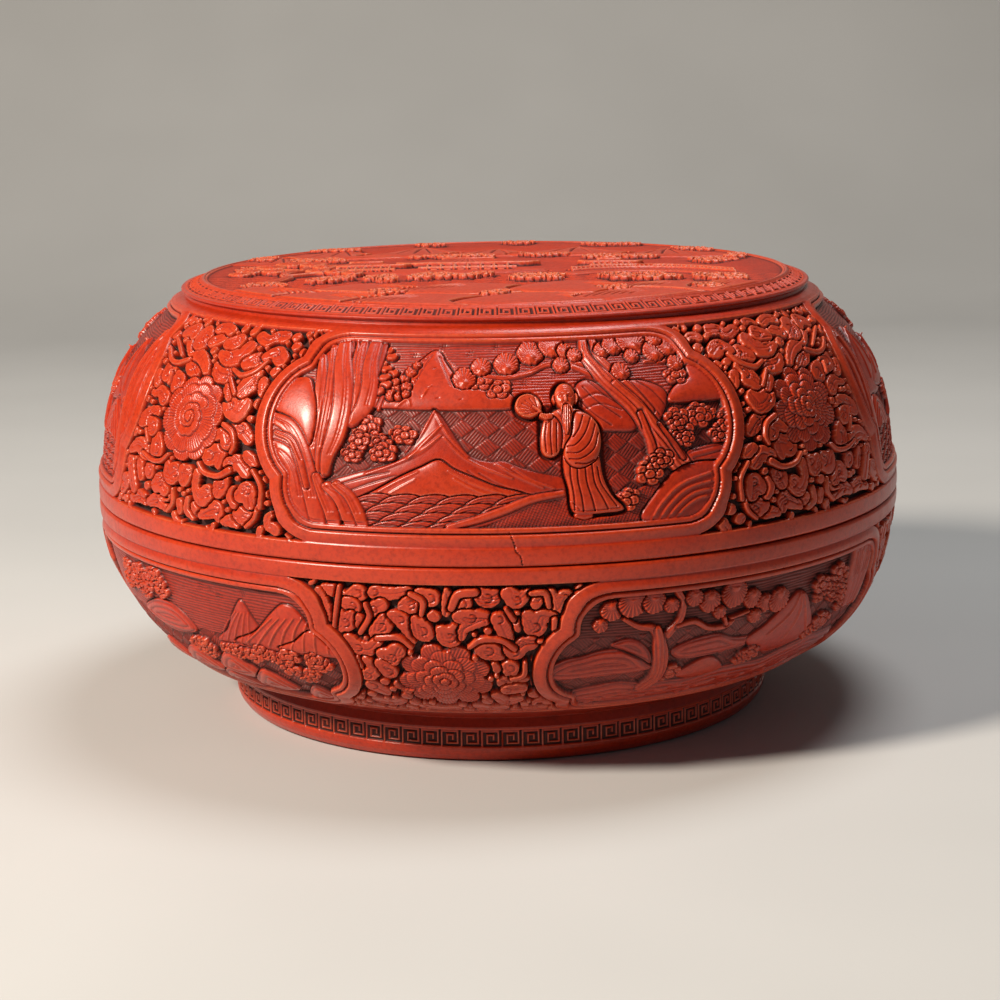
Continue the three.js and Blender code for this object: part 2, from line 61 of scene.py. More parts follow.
# A profile line of (radius, height) points, read by its length; outwards is to its right or left
class Wall:

    def __init__(self, points, outwards):
        self.points = np.array(points, float)
        steps = np.hypot(*np.diff(self.points, axis=0).T)
        self.run = np.concatenate([[0], np.cumsum(steps)])
        self.length = self.run[-1]
        self.outwards = outwards

    def at(self, s):
        r = np.interp(s, self.run, self.points[:, 0])
        z = np.interp(s, self.run, self.points[:, 1])
        a, b = np.clip(s - 0.4, 0, self.length), np.clip(s + 0.4, 0, self.length)
        dr = np.interp(b, self.run, self.points[:, 0]) - np.interp(a, self.run, self.points[:, 0])
        dz = np.interp(b, self.run, self.points[:, 1]) - np.interp(a, self.run, self.points[:, 1])
        size = np.hypot(dr, dz)
        return r, z, self.outwards * dz / size, -self.outwards * dr / size


walls = {half: Wall(bezier(form["profile"], 1200), form["outwards"]) for half, form in halves.items()}


# colours and materials
def colour(code):
    parts = [int(code[i:i + 2], 16) / 255 for i in (1, 3, 5)]
    return tuple(c / 12.92 if c < 0.04045 else ((c + 0.055) / 1.055) ** 2.4 for c in parts) + (1,)


def material(name):
    made = bpy.data.materials.new(name)
    made.use_nodes = True
    return made, made.node_tree, made.node_tree.nodes["Principled BSDF"]


# Adds a node. Settings that name a property are set on it, others by socket; links are (socket, from)
def node(tree, kind, links=(), **settings):
    made = tree.nodes.new(kind)
    for key, value in settings.items():
        if hasattr(made, key):
            setattr(made, key, value)
        else:
            made.inputs[key.replace("_", " ")].default_value = value
    for socket, source in links:
        tree.links.new(source, made.inputs[socket])
    return made


# Links a socket where the value is one, and sets it where it is a plain value
def feed(tree, made, socket, value):
    if isinstance(value, bpy.types.NodeSocket):
        tree.links.new(value, made.inputs[socket])
    else:
        made.inputs[socket].default_value = value


def ramp(tree, source, stops):
    made = node(tree, "ShaderNodeValToRGB", [("Fac", source)])
    elements = made.color_ramp.elements
    while len(elements) < len(stops):
        elements.new(0.5)
    for element, (place, code) in zip(elements, stops):
        element.position = place
        element.color = colour(code) if isinstance(code, str) else (code, code, code, 1)
    return made.outputs["Color"]


# Noise whose grains are about this many mm across
def noise(tree, where, size, detail=3.0, roughness=0.55, output="Fac"):
    made = node(tree, "ShaderNodeTexNoise", [("Vector", where)], Scale=1 / (size * mm), Detail=detail,
        Roughness=roughness)
    return made.outputs[output]


def mix(tree, kind, share, first, second):
    made = node(tree, "ShaderNodeMix", data_type="RGBA", blend_type=kind)
    for socket, value in ((0, share), (6, first), (7, second)):
        feed(tree, made, socket, value)
    return made.outputs[2]


def maths(tree, operation, *values):
    made = node(tree, "ShaderNodeMath", operation=operation)
    for socket, value in enumerate(values):
        feed(tree, made, socket, value)
    return made.outputs[0]


# A value that wavers by an amount round what it is, following a noise
def wavering(tree, value, source, amount):
    return maths(tree, "ADD", value, maths(tree, "MULTIPLY", maths(tree, "SUBTRACT", source, 0.5), amount))


def dress(tree, shader, base, rough, height, strength, depth, coat=0.0, coatRough=0.2):
    bump = node(tree, "ShaderNodeBump", [("Height", height)], Strength=strength, Distance=depth * mm)
    for socket, value in (("Base Color", base), ("Roughness", rough), ("Normal", bump.outputs["Normal"]),
                          ("Coat Weight", coat), ("Coat Roughness", coatRough)):
        feed(tree, shader, socket, value)


# Carved red lacquer: grime and painted shade in the cuts, edges bright with wear and a painted sheen, and an
# old polish. Pattern sizes are in mm
lacquer = {"deepest": "#210806", "deep": "#3d1009", "ground": "#761a0b", "edge": "#bf3d19",
           "rubAndPaintedLight": "#d67a55", "dust": "#a8908a", "dustShare": 0.55, "specular": 0.42, "cloud": 26.3,
           "fleck": 1.923, "scuff": 6.25, "grit": 1.111, "gritStrength": 0.12, "gritDepth": 0.6}


def cinnabar(name, rough, coat, orange):
    made, tree, shader = material(name)
    where = node(tree, "ShaderNodeTexCoord").outputs["Object"]
    tone = node(tree, "ShaderNodeAttribute", attribute_name="tone").outputs["Fac"]
    tone = wavering(tree, tone, noise(tree, where, lacquer["cloud"]), 0.16)
    # the tone ramp paints shade and sheen: near-black with grime and painted shade in the deep cuts, pale with
    # wear and a painted sheen on the edges
    base = ramp(tree, tone, [(0.0, lacquer["deepest"]), (0.2, lacquer["deep"]), (0.42, lacquer["ground"]),
                             (0.58, orange), (0.76, lacquer["edge"]), (1.0, lacquer["rubAndPaintedLight"])])
    fleck = ramp(tree, noise(tree, where, lacquer["fleck"], detail=4, roughness=0.7),
        [(0.3, lacquer["dust"]), (0.55, "#ffffff")])
    dustedColour = mix(tree, "MULTIPLY", lacquer["dustShare"], base, fleck)
    shine = ramp(tree, tone, [(0.15, 0.85), (0.45, rough + 0.1), (0.6, rough), (1.0, 0.26)])
    scuffed = wavering(tree, shine, noise(tree, where, lacquer["scuff"]), 0.22)
    grit = noise(tree, where, lacquer["grit"], detail=4, roughness=0.65)
    dress(tree, shader, dustedColour, scuffed, grit, lacquer["gritStrength"], lacquer["gritDepth"], coat)
    shader.inputs["Specular IOR Level"].default_value = lacquer["specular"]
    return made


# Black lacquer brushed over cloth: faint ripples, dulled by dust, brown where it is thin
brushed = {"black": "#0f0b0a", "soft": "#1a1311", "thin": "#2a1c17", "cloud": 33.3, "dulling": 11.1,
           "ripple": 16.67, "rippleDepth": 0.8, "coat": 0.15}


def blackLacquer():
    made, tree, shader = material("black lacquer, brushed")
    where = node(tree, "ShaderNodeTexCoord").outputs["Object"]
    base = ramp(tree, noise(tree, where, brushed["cloud"], detail=4),
        [(0.3, brushed["black"]), (0.6, brushed["soft"]), (0.8, brushed["thin"])])
    rough = ramp(tree, noise(tree, where, brushed["dulling"], detail=4), [(0.3, 0.22), (0.7, 0.42)])
    stretched = node(tree, "ShaderNodeMapping", [("Vector", where)], Scale=(1, 1, 6)).outputs["Vector"]
    dress(tree, shader, base, rough, noise(tree, stretched, brushed["ripple"], detail=2), 0.25,
        brushed["rippleDepth"], brushed["coat"])
    return made


# Bare turned softwood: growth rings, lathe marks, darkened by age
turnedCore = {"early": "#6d4a2c", "middle": "#93693f", "late": "#a87e50", "rings": 5.712, "warp": 71.43,
              "pores": 5.0, "ringDepth": 0.4}


def turnedWood():
    made, tree, shader = material("softwood, turned and primed")
    where = node(tree, "ShaderNodeTexCoord").outputs["Object"]
    warp = noise(tree, where, turnedCore["warp"], detail=2.0, roughness=0.5, output="Color")
    bent = mix(tree, "ADD", 0.02, where, warp)
    rings = node(tree, "ShaderNodeTexWave", [("Vector", bent)], wave_type="BANDS", bands_direction="X",
                 Scale=math.pi / 10 / (turnedCore["rings"] * mm), Distortion=3.0, Detail=3.0).outputs["Fac"]
    shades = [(0.2, turnedCore["early"]), (0.6, turnedCore["middle"]), (0.9, turnedCore["late"])]
    base = ramp(tree, rings, shades)
    rough = ramp(tree, noise(tree, where, turnedCore["pores"]), [(0.3, 0.6), (0.7, 0.8)])
    dress(tree, shader, base, rough, rings, 0.2, turnedCore["ringDepth"])
    return made


# soft glints on the walls' edges, which are bright with wear and a painted sheen; the crown is dulled from
# above
# both take painted shade in the cuts and a painted sheen on the edges from the tone
red = cinnabar("cinnabar lacquer, knife-carved and rubbed", 0.36, 0.12, "#ab2709")
dustyRed = cinnabar("cinnabar lacquer, faded by light and dust", 0.55, 0.0, "#b4300c")
black, wood = blackLacquer(), turnedWood()
slots = {"red_lacquer": red, "black_lacquer": black, "core_wood": wood}


# meshes
# A smooth mesh from arrays in mm. Its bake map and its tone are given per point
def meshObject(name, places, faces, body, slot, uv=None, tone=None, finish=None):
    mesh = bpy.data.meshes.new(name)
    mesh.vertices.add(len(places))
    mesh.vertices.foreach_set("co", (places * mm).astype(np.float32).ravel())
    corners = faces.astype(np.int32).ravel()
    mesh.loops.add(len(corners))
    mesh.loops.foreach_set("vertex_index", corners)
    mesh.polygons.add(len(faces))
    mesh.polygons.foreach_set("loop_start", np.arange(len(faces), dtype=np.int32) * faces.shape[1])
    mesh.polygons.foreach_set("use_smooth", np.ones(len(faces), bool))
    mesh.update(calc_edges=True)
    if uv is not None:
        layer = mesh.uv_layers.new(name="OFBake")
        layer.uv.foreach_set("vector", uv[corners].astype(np.float32).ravel())
    values = np.full(len(places), 0.62) if tone is None else tone
    attribute = mesh.attributes.new("tone", "FLOAT", "POINT")
    attribute.data.foreach_set("value", values.astype(np.float32))
    made = bpy.data.objects.new(name, mesh)
    bpy.context.scene.collection.objects.link(made)
    mesh.materials.append(finish or slots[slot])
    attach(made, body)
    return made


# A lid's mesh from the faces that are kept of a grid, without the points that no face uses
def partMesh(name, points, faces, tone, finish=None):
    rows, columns = points.shape[:2]
    kept = np.zeros(rows * columns, bool)
    kept[faces.ravel()] = True
    places, faces = points.reshape(-1, 3)[kept], (np.cumsum(kept) - 1)[faces]
    meshObject(name, places, faces, "lid", "red_lacquer", gridMap(rows, columns)[kept],
        tone.reshape(-1)[kept], finish)


def gridFaces(rows, columns, flip=False):
    index = np.arange(rows * columns).reshape(rows, columns)
    quads = [index[:-1, :-1], index[:-1, 1:], index[1:, 1:], index[1:, :-1]]
    if flip:
        quads.reverse()
    return np.stack(quads, -1).reshape(-1, 4)


# A bake map that lays a grid out as it is, with a little room at its edges
def gridMap(rows, columns):
    spread = np.meshgrid(np.linspace(0.004, 0.996, columns), np.linspace(0.004, 0.996, rows))
    return np.stack(spread, -1).reshape(-1, 2)


# Points in mm from a turn round the axis, a radius and a height
def aroundAxis(turn, radius, height):
    return np.stack([radius * np.sin(turn), -radius * np.cos(turn), height], -1)


# A turned piece from a line of (radius, height) points, with corners kept crisp by close points
def turned(name, profile, body, slot, segments, tone=None):
    line = np.array(profile, float)
    close, apart = 0.12, 6.0  # mm from a corner to its nearest point, and between points on a long line
    places = [line[0]]
    for a, b in zip(line, line[1:]):
        length = math.dist(a, b)
        if length < 1e-6:
            continue
        shares = {min(close / length, 0.5), max(1 - close / length, 0.5), 1.0}
        shares |= set(np.arange(1, int(length / apart)) * apart / length)
        for share in sorted(shares):
            places.append(a + (b - a) * share)
    line = np.array(places)
    turn = np.linspace(0, 2 * math.pi, segments + 1)
    r, z = line[:, 0][:, None], line[:, 1][:, None]
    points = aroundAxis(turn, r, np.repeat(z, segments + 1, 1))
    rows, columns = points.shape[:2]
    steps = np.hypot(*np.diff(line, axis=0).T)
    run = np.concatenate([[0], np.cumsum(steps)]) / max(1, steps.sum())
    uv = np.stack(np.meshgrid(0.01 + 0.98 * np.linspace(0, 1, columns), 0.01 + 0.98 * run), -1)
    values = None if tone is None else np.full(rows * columns, tone)
    return meshObject(name, points.reshape(-1, 3), gridFaces(rows, columns), body, slot, uv.reshape(-1, 2),
        values)


# relief carving
def smooth(t):
    t = np.clip(t, 0, 1)
    return t * t * (3 - 2 * t)


# Narrow V cuts at a pitch in mm, 1 in the middle of each cut; coarser while the grid is
def knife(run, pitch, share=0.42):
    pitch = max(pitch, 2.4 * grain)
    away = np.abs(run / pitch - np.round(run / pitch))
    return np.clip(1 - away / share, 0, 1)


# A carved top: nearly flat, with a bevel at its edge. u is 0 in the middle and 1 at the edge
def shelf(u, dome, bevel=0.3):
    return 0.7 * dome * u ** 2 + 0.8 * bevel * smooth((u - 0.75) / 0.27)


# A smooth line through given points, each a tuple of numbers
def curve(points, steps=6, closed=False):
    p = np.array(points, float)
    if len(p) < 3:
        share = np.linspace(0, 1, steps + 1)[:, None]
        return p[0] * (1 - share) + p[-1] * share
    ring = np.vstack([p[-1:], p, p[:2]]) if closed else np.vstack([2 * p[0] - p[1], p, 2 * p[-1] - p[-2]])
    line = []
    for a, b, c, d in zip(ring, ring[1:], ring[2:], ring[3:]):
        t = (np.arange(steps) / steps)[:, None]
        line.append(0.5 * (2 * b + (c - a) * t + (2 * a - 5 * b + 4 * c - d) * t ** 2
            + (3 * b - a - 3 * c + d) * t ** 3))
    made = np.vstack(line + ([] if closed else [p[-1:]]))
    if made.shape[1] > 2:
        made[:, 2] = np.maximum(made[:, 2], 0.15)
    return made


# A carved surface on a regular grid: x across, y along the wall, h the height over the full surface, all mm
class Relief:

    def __init__(self, low, high, bottom, top, level, step=None):
        self.step = step or grain
        columns, rows = max(2, round((high - low) / self.step)), max(2, round((top - bottom) / self.step))
        self.x = np.linspace(low, high, columns + 1)
        self.y = np.linspace(bottom, top, rows + 1)
        self.h = np.full((rows + 1, columns + 1), float(level))
        self.soft = max(0.2, self.step * 0.66)

    def area(self, x0, x1, y0, y1):
        i0, i1 = np.searchsorted(self.x, (x0, x1))
        j0, j1 = np.searchsorted(self.y, (y0, y1))
        if i1 - i0 < 1 or j1 - j0 < 1:
            return None
        part = (slice(j0, j1), slice(i0, i1))
        gx, gy = np.meshgrid(self.x[part[1]], self.y[part[0]])
        return part, gx, gy

    # Lays a form over what is there, with a cut of some width and depth round it
    def lay(self, part, dist, top, moat=0.55, gap=-2.2):
        h = self.h[part]
        if moat:
            ring = smooth((moat + self.soft - dist) / (2 * self.soft))
            h = h + (np.minimum(h, gap) - h) * ring
        inside = smooth((self.soft - dist) / (2 * self.soft))
        self.h[part] = h * (1 - inside) + top * inside

    # Where points lie along a path of (x, y, radius): distance from its edge, share of its radius, run, side
    def sweep(self, path, reach=1.0):
        line = curve(path)
        big = line[:, 2].max() + reach
        found = self.area(line[:, 0].min() - big, line[:, 0].max() + big, line[:, 1].min() - big,
            line[:, 1].max() + big)
        if found is None:
            return None
        part, gx, gy = found
        dist = np.full(gx.shape, 1e6)
        run, rad, side = np.zeros(gx.shape), np.ones(gx.shape), np.zeros(gx.shape)
        gone = 0.0
        for (ax, ay, ar), (bx, by, br) in zip(line, line[1:]):
            length = math.hypot(bx - ax, by - ay)
            if length < 1e-6:
                continue
            ux, uy = (bx - ax) / length, (by - ay) / length
            t = np.clip(((gx - ax) * ux + (gy - ay) * uy) / length, 0, 1)
            dx, dy = gx - ax - t * (bx - ax), gy - ay - t * (by - ay)
            r = ar + t * (br - ar)
            d = np.hypot(dx, dy) - r
            near = d < dist
            dist[near], rad[near] = d[near], r[near]
            run[near] = (gone + t * length)[near]
            side[near] = (ux * dy - uy * dx)[near]
            gone += length
        return part, gx, gy, dist, (dist + rad) / rad, run, side

    # A curled leaf: flat with a wavy edge, a vein, fine knife lines on one side and an eye in its curl
    def leaf(self, path, top=0.0, comb=1.0, dome=0.35, scallop=0.5, moat=0.55, gap=-2.6, eye=True):
        found = self.sweep(path)
        if found is None:
            return
        part, gx, gy, dist, u, run, side = found
        size = max(p[2] for p in path)
        waviness = 1 - np.abs(np.sin(np.pi * run / 2.7 + (side > 0) * 1.3))
        dist = dist + scallop * min(1, size / 2.6) * waviness
        surface = top - 0.48 * shelf(u, dome * min(1.0, size / 2.6))
        if size > 2.1 and comb:
            hand = 1 if (len(path) + int(abs(path[0][0]) * 7)) % 2 else -1
            lines = knife(run + 0.7 * np.abs(side), 1.02, 0.36) * smooth((side * hand - 0.1) / 0.4)
            lines = lines * smooth((0.86 - u) / 0.14)
            vein = 1.3 * smooth(1 - np.abs(side) / 0.45) * smooth((run - 0.3 * size) / 0.8)
            lines = np.maximum(lines, vein * smooth((0.8 - u) / 0.3))
            surface = surface - 0.5 * comb * lines
        self.lay(part, dist, surface, moat, gap)
        if eye and size > 2.9 and len(path) > 1:
            x, y, r = max(path, key=lambda q: q[2])
            around = np.hypot(gx - x, gy - y)
            ahead = np.abs(np.arctan2(gy - y, gx - x)) < 1.9
            self.h[part] -= 0.8 * smooth(1 - np.abs(around - 0.42 * r) / 0.5) * ahead

    # A plain rounded stem or trunk; grooves run along it, and it may lean to one side
    def bead(self, path, top=0.0, dome=0.6, moat=0.4, gap=-2.2, grooves=0.0, pitch=1.5, lean=0.0):
        found = self.sweep(path)
        if found is None:
            return
        part, gx, gy, dist, u, run, side = found
        surface = top - shelf(u, dome, 0.15) - lean * np.sign(side) * np.minimum(u, 1)
        if grooves:
            surface = surface - 1.5 * grooves * knife(side + 0.3 * np.sin(run / 3.1), pitch)
        self.lay(part, dist, surface, moat, gap)

    # A knife cut along a path
    def cut(self, path, depth):
        found = self.sweep(path, 0.3)
        if found is None:
            return
        part, gx, gy, dist, u, run, side = found
        self.h[part] -= depth * smooth(1.15 - u)

    def rib(self, path, height):
        found = self.sweep(path, 0.3)
        if found is None:
            return
        part, gx, gy, dist, u, run, side = found
        self.h[part] += height * smooth(1.1 - u)

    # Distance from a closed smooth outline, less than zero inside it
    def outline(self, points, reach=1.5, steps=6):
        line = curve(points, steps, closed=True)[:, :2]
        found = self.area(line[:, 0].min() - reach, line[:, 0].max() + reach, line[:, 1].min() - reach,
            line[:, 1].max() + reach)
        if found is None:
            return None
        part, gx, gy = found
        return part, gx, gy, ringDistance(line, gx, gy)

    # A hill, rock or cloth: it swells from its edge by rise over a width; contour cuts follow its outline
    def mass(self, points, top, rise=1.0, width=4.0, contour=0.0, pitch=2.4, moat=0.5, gap=-3.2, steps=6):
        found = self.outline(points, steps=steps)
        if found is None:
            return
        part, gx, gy, dist = found
        inside = np.clip(-dist, 0, None)
        surface = top - rise * np.exp(-inside / width * 2.2)
        if contour:
            wave = (inside / pitch + 0.12 * np.sin(gx / 3.3) + 0.1 * np.sin(gy / 2.7)) % 1
            cuts = np.clip(1 - np.abs(wave - 0.3) / 0.3, 0, 1)
            surface = surface - 1.2 * contour * cuts * smooth(inside / 0.8)
        self.lay(part, dist, surface, moat, gap)

    # A fan of pine needles seen from its face
    def pine(self, cx, cy, r, top=-0.6):
        found = self.area(cx - 1.3 * r - 1.5, cx + 1.3 * r + 1.5, cy - 1.3 * r - 1.5, cy + 1.3 * r + 1.5)
        if found is None:
            return
        part, gx, gy = found
        dx, dy = gx - cx, gy - cy
        r = 1.3 * r
        rho, phi = np.hypot(dx, dy), np.arctan2(dy + 0.5 * r, dx)
        root = np.hypot(dx, dy + 0.5 * r)
        count = max(9, round(4.3 * r / (1)))
        apart = root * 2 * math.pi / count
        needles = knife(phi * count / (2 * math.pi), 1, 0.42) * smooth((apart - 0.3) / 0.25)
        dist = rho - r * (1 - 0.07 * np.abs(np.sin(3.5 * phi)))
        heart = smooth(1.3 - root / (0.14 * r + 0.35))
        surface = top + 0.1 - 0.25 * (rho / r) ** 2 - 0.75 * needles + 0.3 * heart
        self.lay(part, dist, surface, 0.5, -3.0)

    def taken(self, part, dist, room, floor):
        return bool(np.any((dist < room) & (self.h[part] > floor)))

    # Small curls and buds wherever the ground is still free, the largest first
    def fill(self, sizes, seed, floor, box, top=-0.15, comb=0.8):
        rng = np.random.default_rng(seed)
        gx, gy = np.meshgrid(self.x, self.y)
        barred = (gx < box[0]) | (gx > box[1]) | (gy < box[2]) | (gy > box[3])
        for size in sizes:
            n = max(1, round(0.75 * size / self.step))
            spent = barred.copy()
            for k in range(320):
                if k % 10 == 0:
                    free = ((self.h < floor) & ~barred).astype(float)
                    spots = np.argwhere((blurred(free, 2 * n, False) > 0.999) & ~spent)
                if not len(spots):
                    break
                j, i = spots[rng.integers(len(spots))]
                spent[max(0, j - n):j + n + 1, max(0, i - n):i + n + 1] = True
                for turn in list(rng.uniform(0, 2 * math.pi, 3)) + [None]:
                    path, x, y, aim = [], self.x[i], self.y[j], turn
                    bend = rng.choice((-1, 1)) * rng.uniform(0.5, 1.2)
                    for share in (0.9, 0.8, 0.62, 0.4) if turn is not None else (0.85, 0.8):
                        path.append((x, y, size * share))
                        x += size * (1.15 * math.cos(aim) if turn is not None else 0.2)
                        y += size * (1.15 * math.sin(aim) if turn is not None else 0.1)
                        aim = aim + bend if turn is not None else None
                    found = self.sweep(path, 0.6)
                    if found is None or not np.any(found[3] < 0):
                        continue
                    if not self.taken(found[0], found[3], 0.32, floor):
                        self.leaf(path, top=top - rng.uniform(0, 0.5), comb=comb, scallop=0.25, moat=0)
                        break


# Signed distance from a closed line of points, negative inside
def ringDistance(line, gx, gy):
    best = np.full(gx.shape, 1e12)
    inside = np.zeros(gx.shape, bool)
    for (ax, ay), (bx, by) in zip(line, np.roll(line, -1, 0)):
        ex, ey = bx - ax, by - ay
        size = ex * ex + ey * ey
        if size < 1e-12:
            continue
        t = np.clip(((gx - ax) * ex + (gy - ay) * ey) / size, 0, 1)
        best = np.minimum(best, (gx - ax - t * ex) ** 2 + (gy - ay - t * ey) ** 2)
        crosses = (ay > gy) != (by > gy)
        if ey:
            inside ^= crosses & (gx < ax + ex * (gy - ay) / ey)
    return np.where(inside, -1, 1) * np.sqrt(best)


# grounds of a picture
# Square spirals joined in a row; y runs from 0 at the foot of the band to its height. Returns 1 on a ridge
def meander(x, y, pitch, tall, ridge=0.36):
    cell = pitch / 5.6
    path = [(0, -0.4), (0, 5), (4.5, 5), (4.5, 0.9), (1.5, 0.9), (1.5, 3.7), (3.2, 3.7), (3.2, 2.3)]
    px, best = x % pitch, np.full(np.broadcast(x, y).shape, 9.0)
    for shift in (-pitch, 0, pitch):
        for (ax, ay), (bx, by) in zip(path, path[1:]):
            ax, bx, ay, by = ax * cell + shift, bx * cell + shift, ay * tall / 5.2, by * tall / 5.2
            dx = np.maximum(np.maximum(min(ax, bx) - px, px - max(ax, bx)), 0)
            dy = np.maximum(np.maximum(min(ay, by) - y, y - max(ay, by)), 0)
            best = np.minimum(best, np.maximum(dx, dy))
    return smooth((ridge + 0.14 - best) / 0.28)


# Woven lozenges, each hatched across its neighbours
def lattice(x, y, level):
    a, b = (x + 1.25 * y) / 9.6, (x - 1.25 * y) / 9.6
    parity = (np.floor(a) + np.floor(b)) % 2
    along = np.where(parity == 0, x * 0.78 + y * 0.62, x * 0.78 - y * 0.62)
    edge = np.minimum(np.abs(a - np.round(a)), np.abs(b - np.round(b)))
    return level + 0.5 * (1 - knife(along, 1.1, 0.5)) * smooth((edge - 0.02) / 0.05) + 0.3 * (parity == 0)


def ripples(x, y, level, pitch=1.35):
    return level - 0.4 * knife(y + 0.35 * np.sin(x / 17) + 0.2 * np.sin(x / 4.1 + y), pitch, 0.4)


def stipple(x, y, level):
    a = np.cos(2 * np.pi * (x * 0.9 + y * 0.45) / 1.5) * np.cos(2 * np.pi * (y * 0.95 - x * 0.3) / 1.45)
    patch = np.sin(x / 2.6 + np.sin(y / 1.9)) * np.sin(y / 2.2)
    return level + 0.45 * np.clip(a, -0.2, 1) + 0.2 * patch


# frames
# Lobes of one side as shares of the half width and the height, from the top down; the rest in mm
cartouche = {
    "lobes": ([(0.695, 0), (0.8, 0), (0.872, 0.07), (0.876, 0.17)],
              [(0.876, 0.17), (1.04, 0.28), (1.04, 0.62), (0.898, 0.757)],
              [(0.898, 0.757), (0.905, 0.88), (0.85, 1), (0.716, 1)]),
    "half": 3.9, "fromRim": 4.5, "fromEnd": 4.2, "topShift": 2.3, "footShift": 1.1,
}


# Middle line of a cartouche frame; its cusped foot is always towards the rim
def frameOutline(halfAngle, rimEdge, end):
    low, high = rimEdge + cartouche["fromRim"], end - cartouche["fromEnd"]
    wide = math.radians(halfAngle) * arcRadius
    side = np.vstack([bezier(lobe, 14)[(1 if n else 0):] for n, lobe in enumerate(cartouche["lobes"])])
    right = np.stack([side[:, 0] * wide, high - side[:, 1] * (high - low)], -1)
    return np.vstack([right, (right * (-1, 1))[::-1]])


# How far a frame's profile sits outside its middle line: along its top and foot members
def frameShift(y, rimEdge, end):
    top, foot = smooth((y - (end - 15)) / 9), smooth((rimEdge + 12 - y) / 6)
    return cartouche["topShift"] * top + cartouche["footShift"] * foot


# Height of a frame by its distance from the middle line, outwards positive
def frameHeight(d):
    slope = 0.75 * smooth((d + 0.2) / 4.2) ** 1.2 + 0.35 * smooth((-0.5 - d) / 0.6)
    band = 0.3 - slope - 3.2 * smooth((d - cartouche["half"] - 0.05) / 0.5)
    bead = -0.75 + 0.45 * np.sqrt(np.clip(1 - ((d + 2.75) / 0.95) ** 2, 0, 1))
    return np.where(d > -1.15, band, np.where(d > -1.8, -1.5, np.where(d > -3.7, bead, -1.3)))


# scrolling leaves between the frames
# Two kinds of peony, one that winds into its heart and an open one. Each ring of petals, the outermost first:
# petals, reach, how far it winds inwards, height, turn, depth between the petals
peonyLayers = {
    "winding": ((10, 1.0, 0, -0.75, 0.0, 0.12), (8, 0.8, 0, -0.45, 0.5, 0.1),
                (9, 0.6, 0.24, -0.1, 0.0, 0.1), (6, 0.36, 0.2, 0.15, 0.0, 0.1),
                (3, 0.16, 0.08, 0.35, 0.3, 0.1)),
    "open": ((9, 1.0, 0, -0.9, 0.0, 0.26), (8, 0.82, 0, -0.6, 0.5, 0.24), (7, 0.62, 0, -0.3, 0.1, 0.24),
             (5, 0.44, 0, 0.0, 0.6, 0.26), (4, 0.27, 0, 0.2, 0.2, 0.2), (1, 0.1, 0, 0.4, 0.0, 0.0)),
}


def peony(r, cx, cy, size, turn, twist):
    part, gx, gy = r.area(cx - size - 1, cx + size + 1, cy - size - 1, cy + size + 1)
    dx, dy = gx - cx, gy - cy
    rho, phi = np.hypot(dx, dy), (np.arctan2(dy, dx) * twist - turn) % (2 * math.pi)
    layers = peonyLayers["winding" if twist > 0 else "open"]
    for count, reach, wind, top, shift, dip in layers:
        place = phi * count / (2 * math.pi) + shift
        lobe = place - np.floor(place)
        edge = size * (reach - wind * phi / (2 * math.pi)) * (1 - dip * np.abs(2 * lobe - 1) ** 2.6)
        cuts = round(2 * math.pi * size * reach * 0.84 / 1.25)
        lines = knife(phi * cuts / (2 * math.pi), 1, 0.34) * smooth((rho * 2 * math.pi / cuts - 0.6) / 0.25)
        lines = lines * smooth((edge - rho) / 0.7)
        overlap = 0.4 if wind == 0 else 0.18
        surface = top - 0.55 * (1 - rho / edge) ** 2 - overlap * lobe - 0.6 * lines
        surface = surface - 0.25 * smooth((rho - edge + 0.8) / 0.8)
        r.lay(part, rho - edge, surface, 0.5, -3.2 if reach == 1 else -1.7)


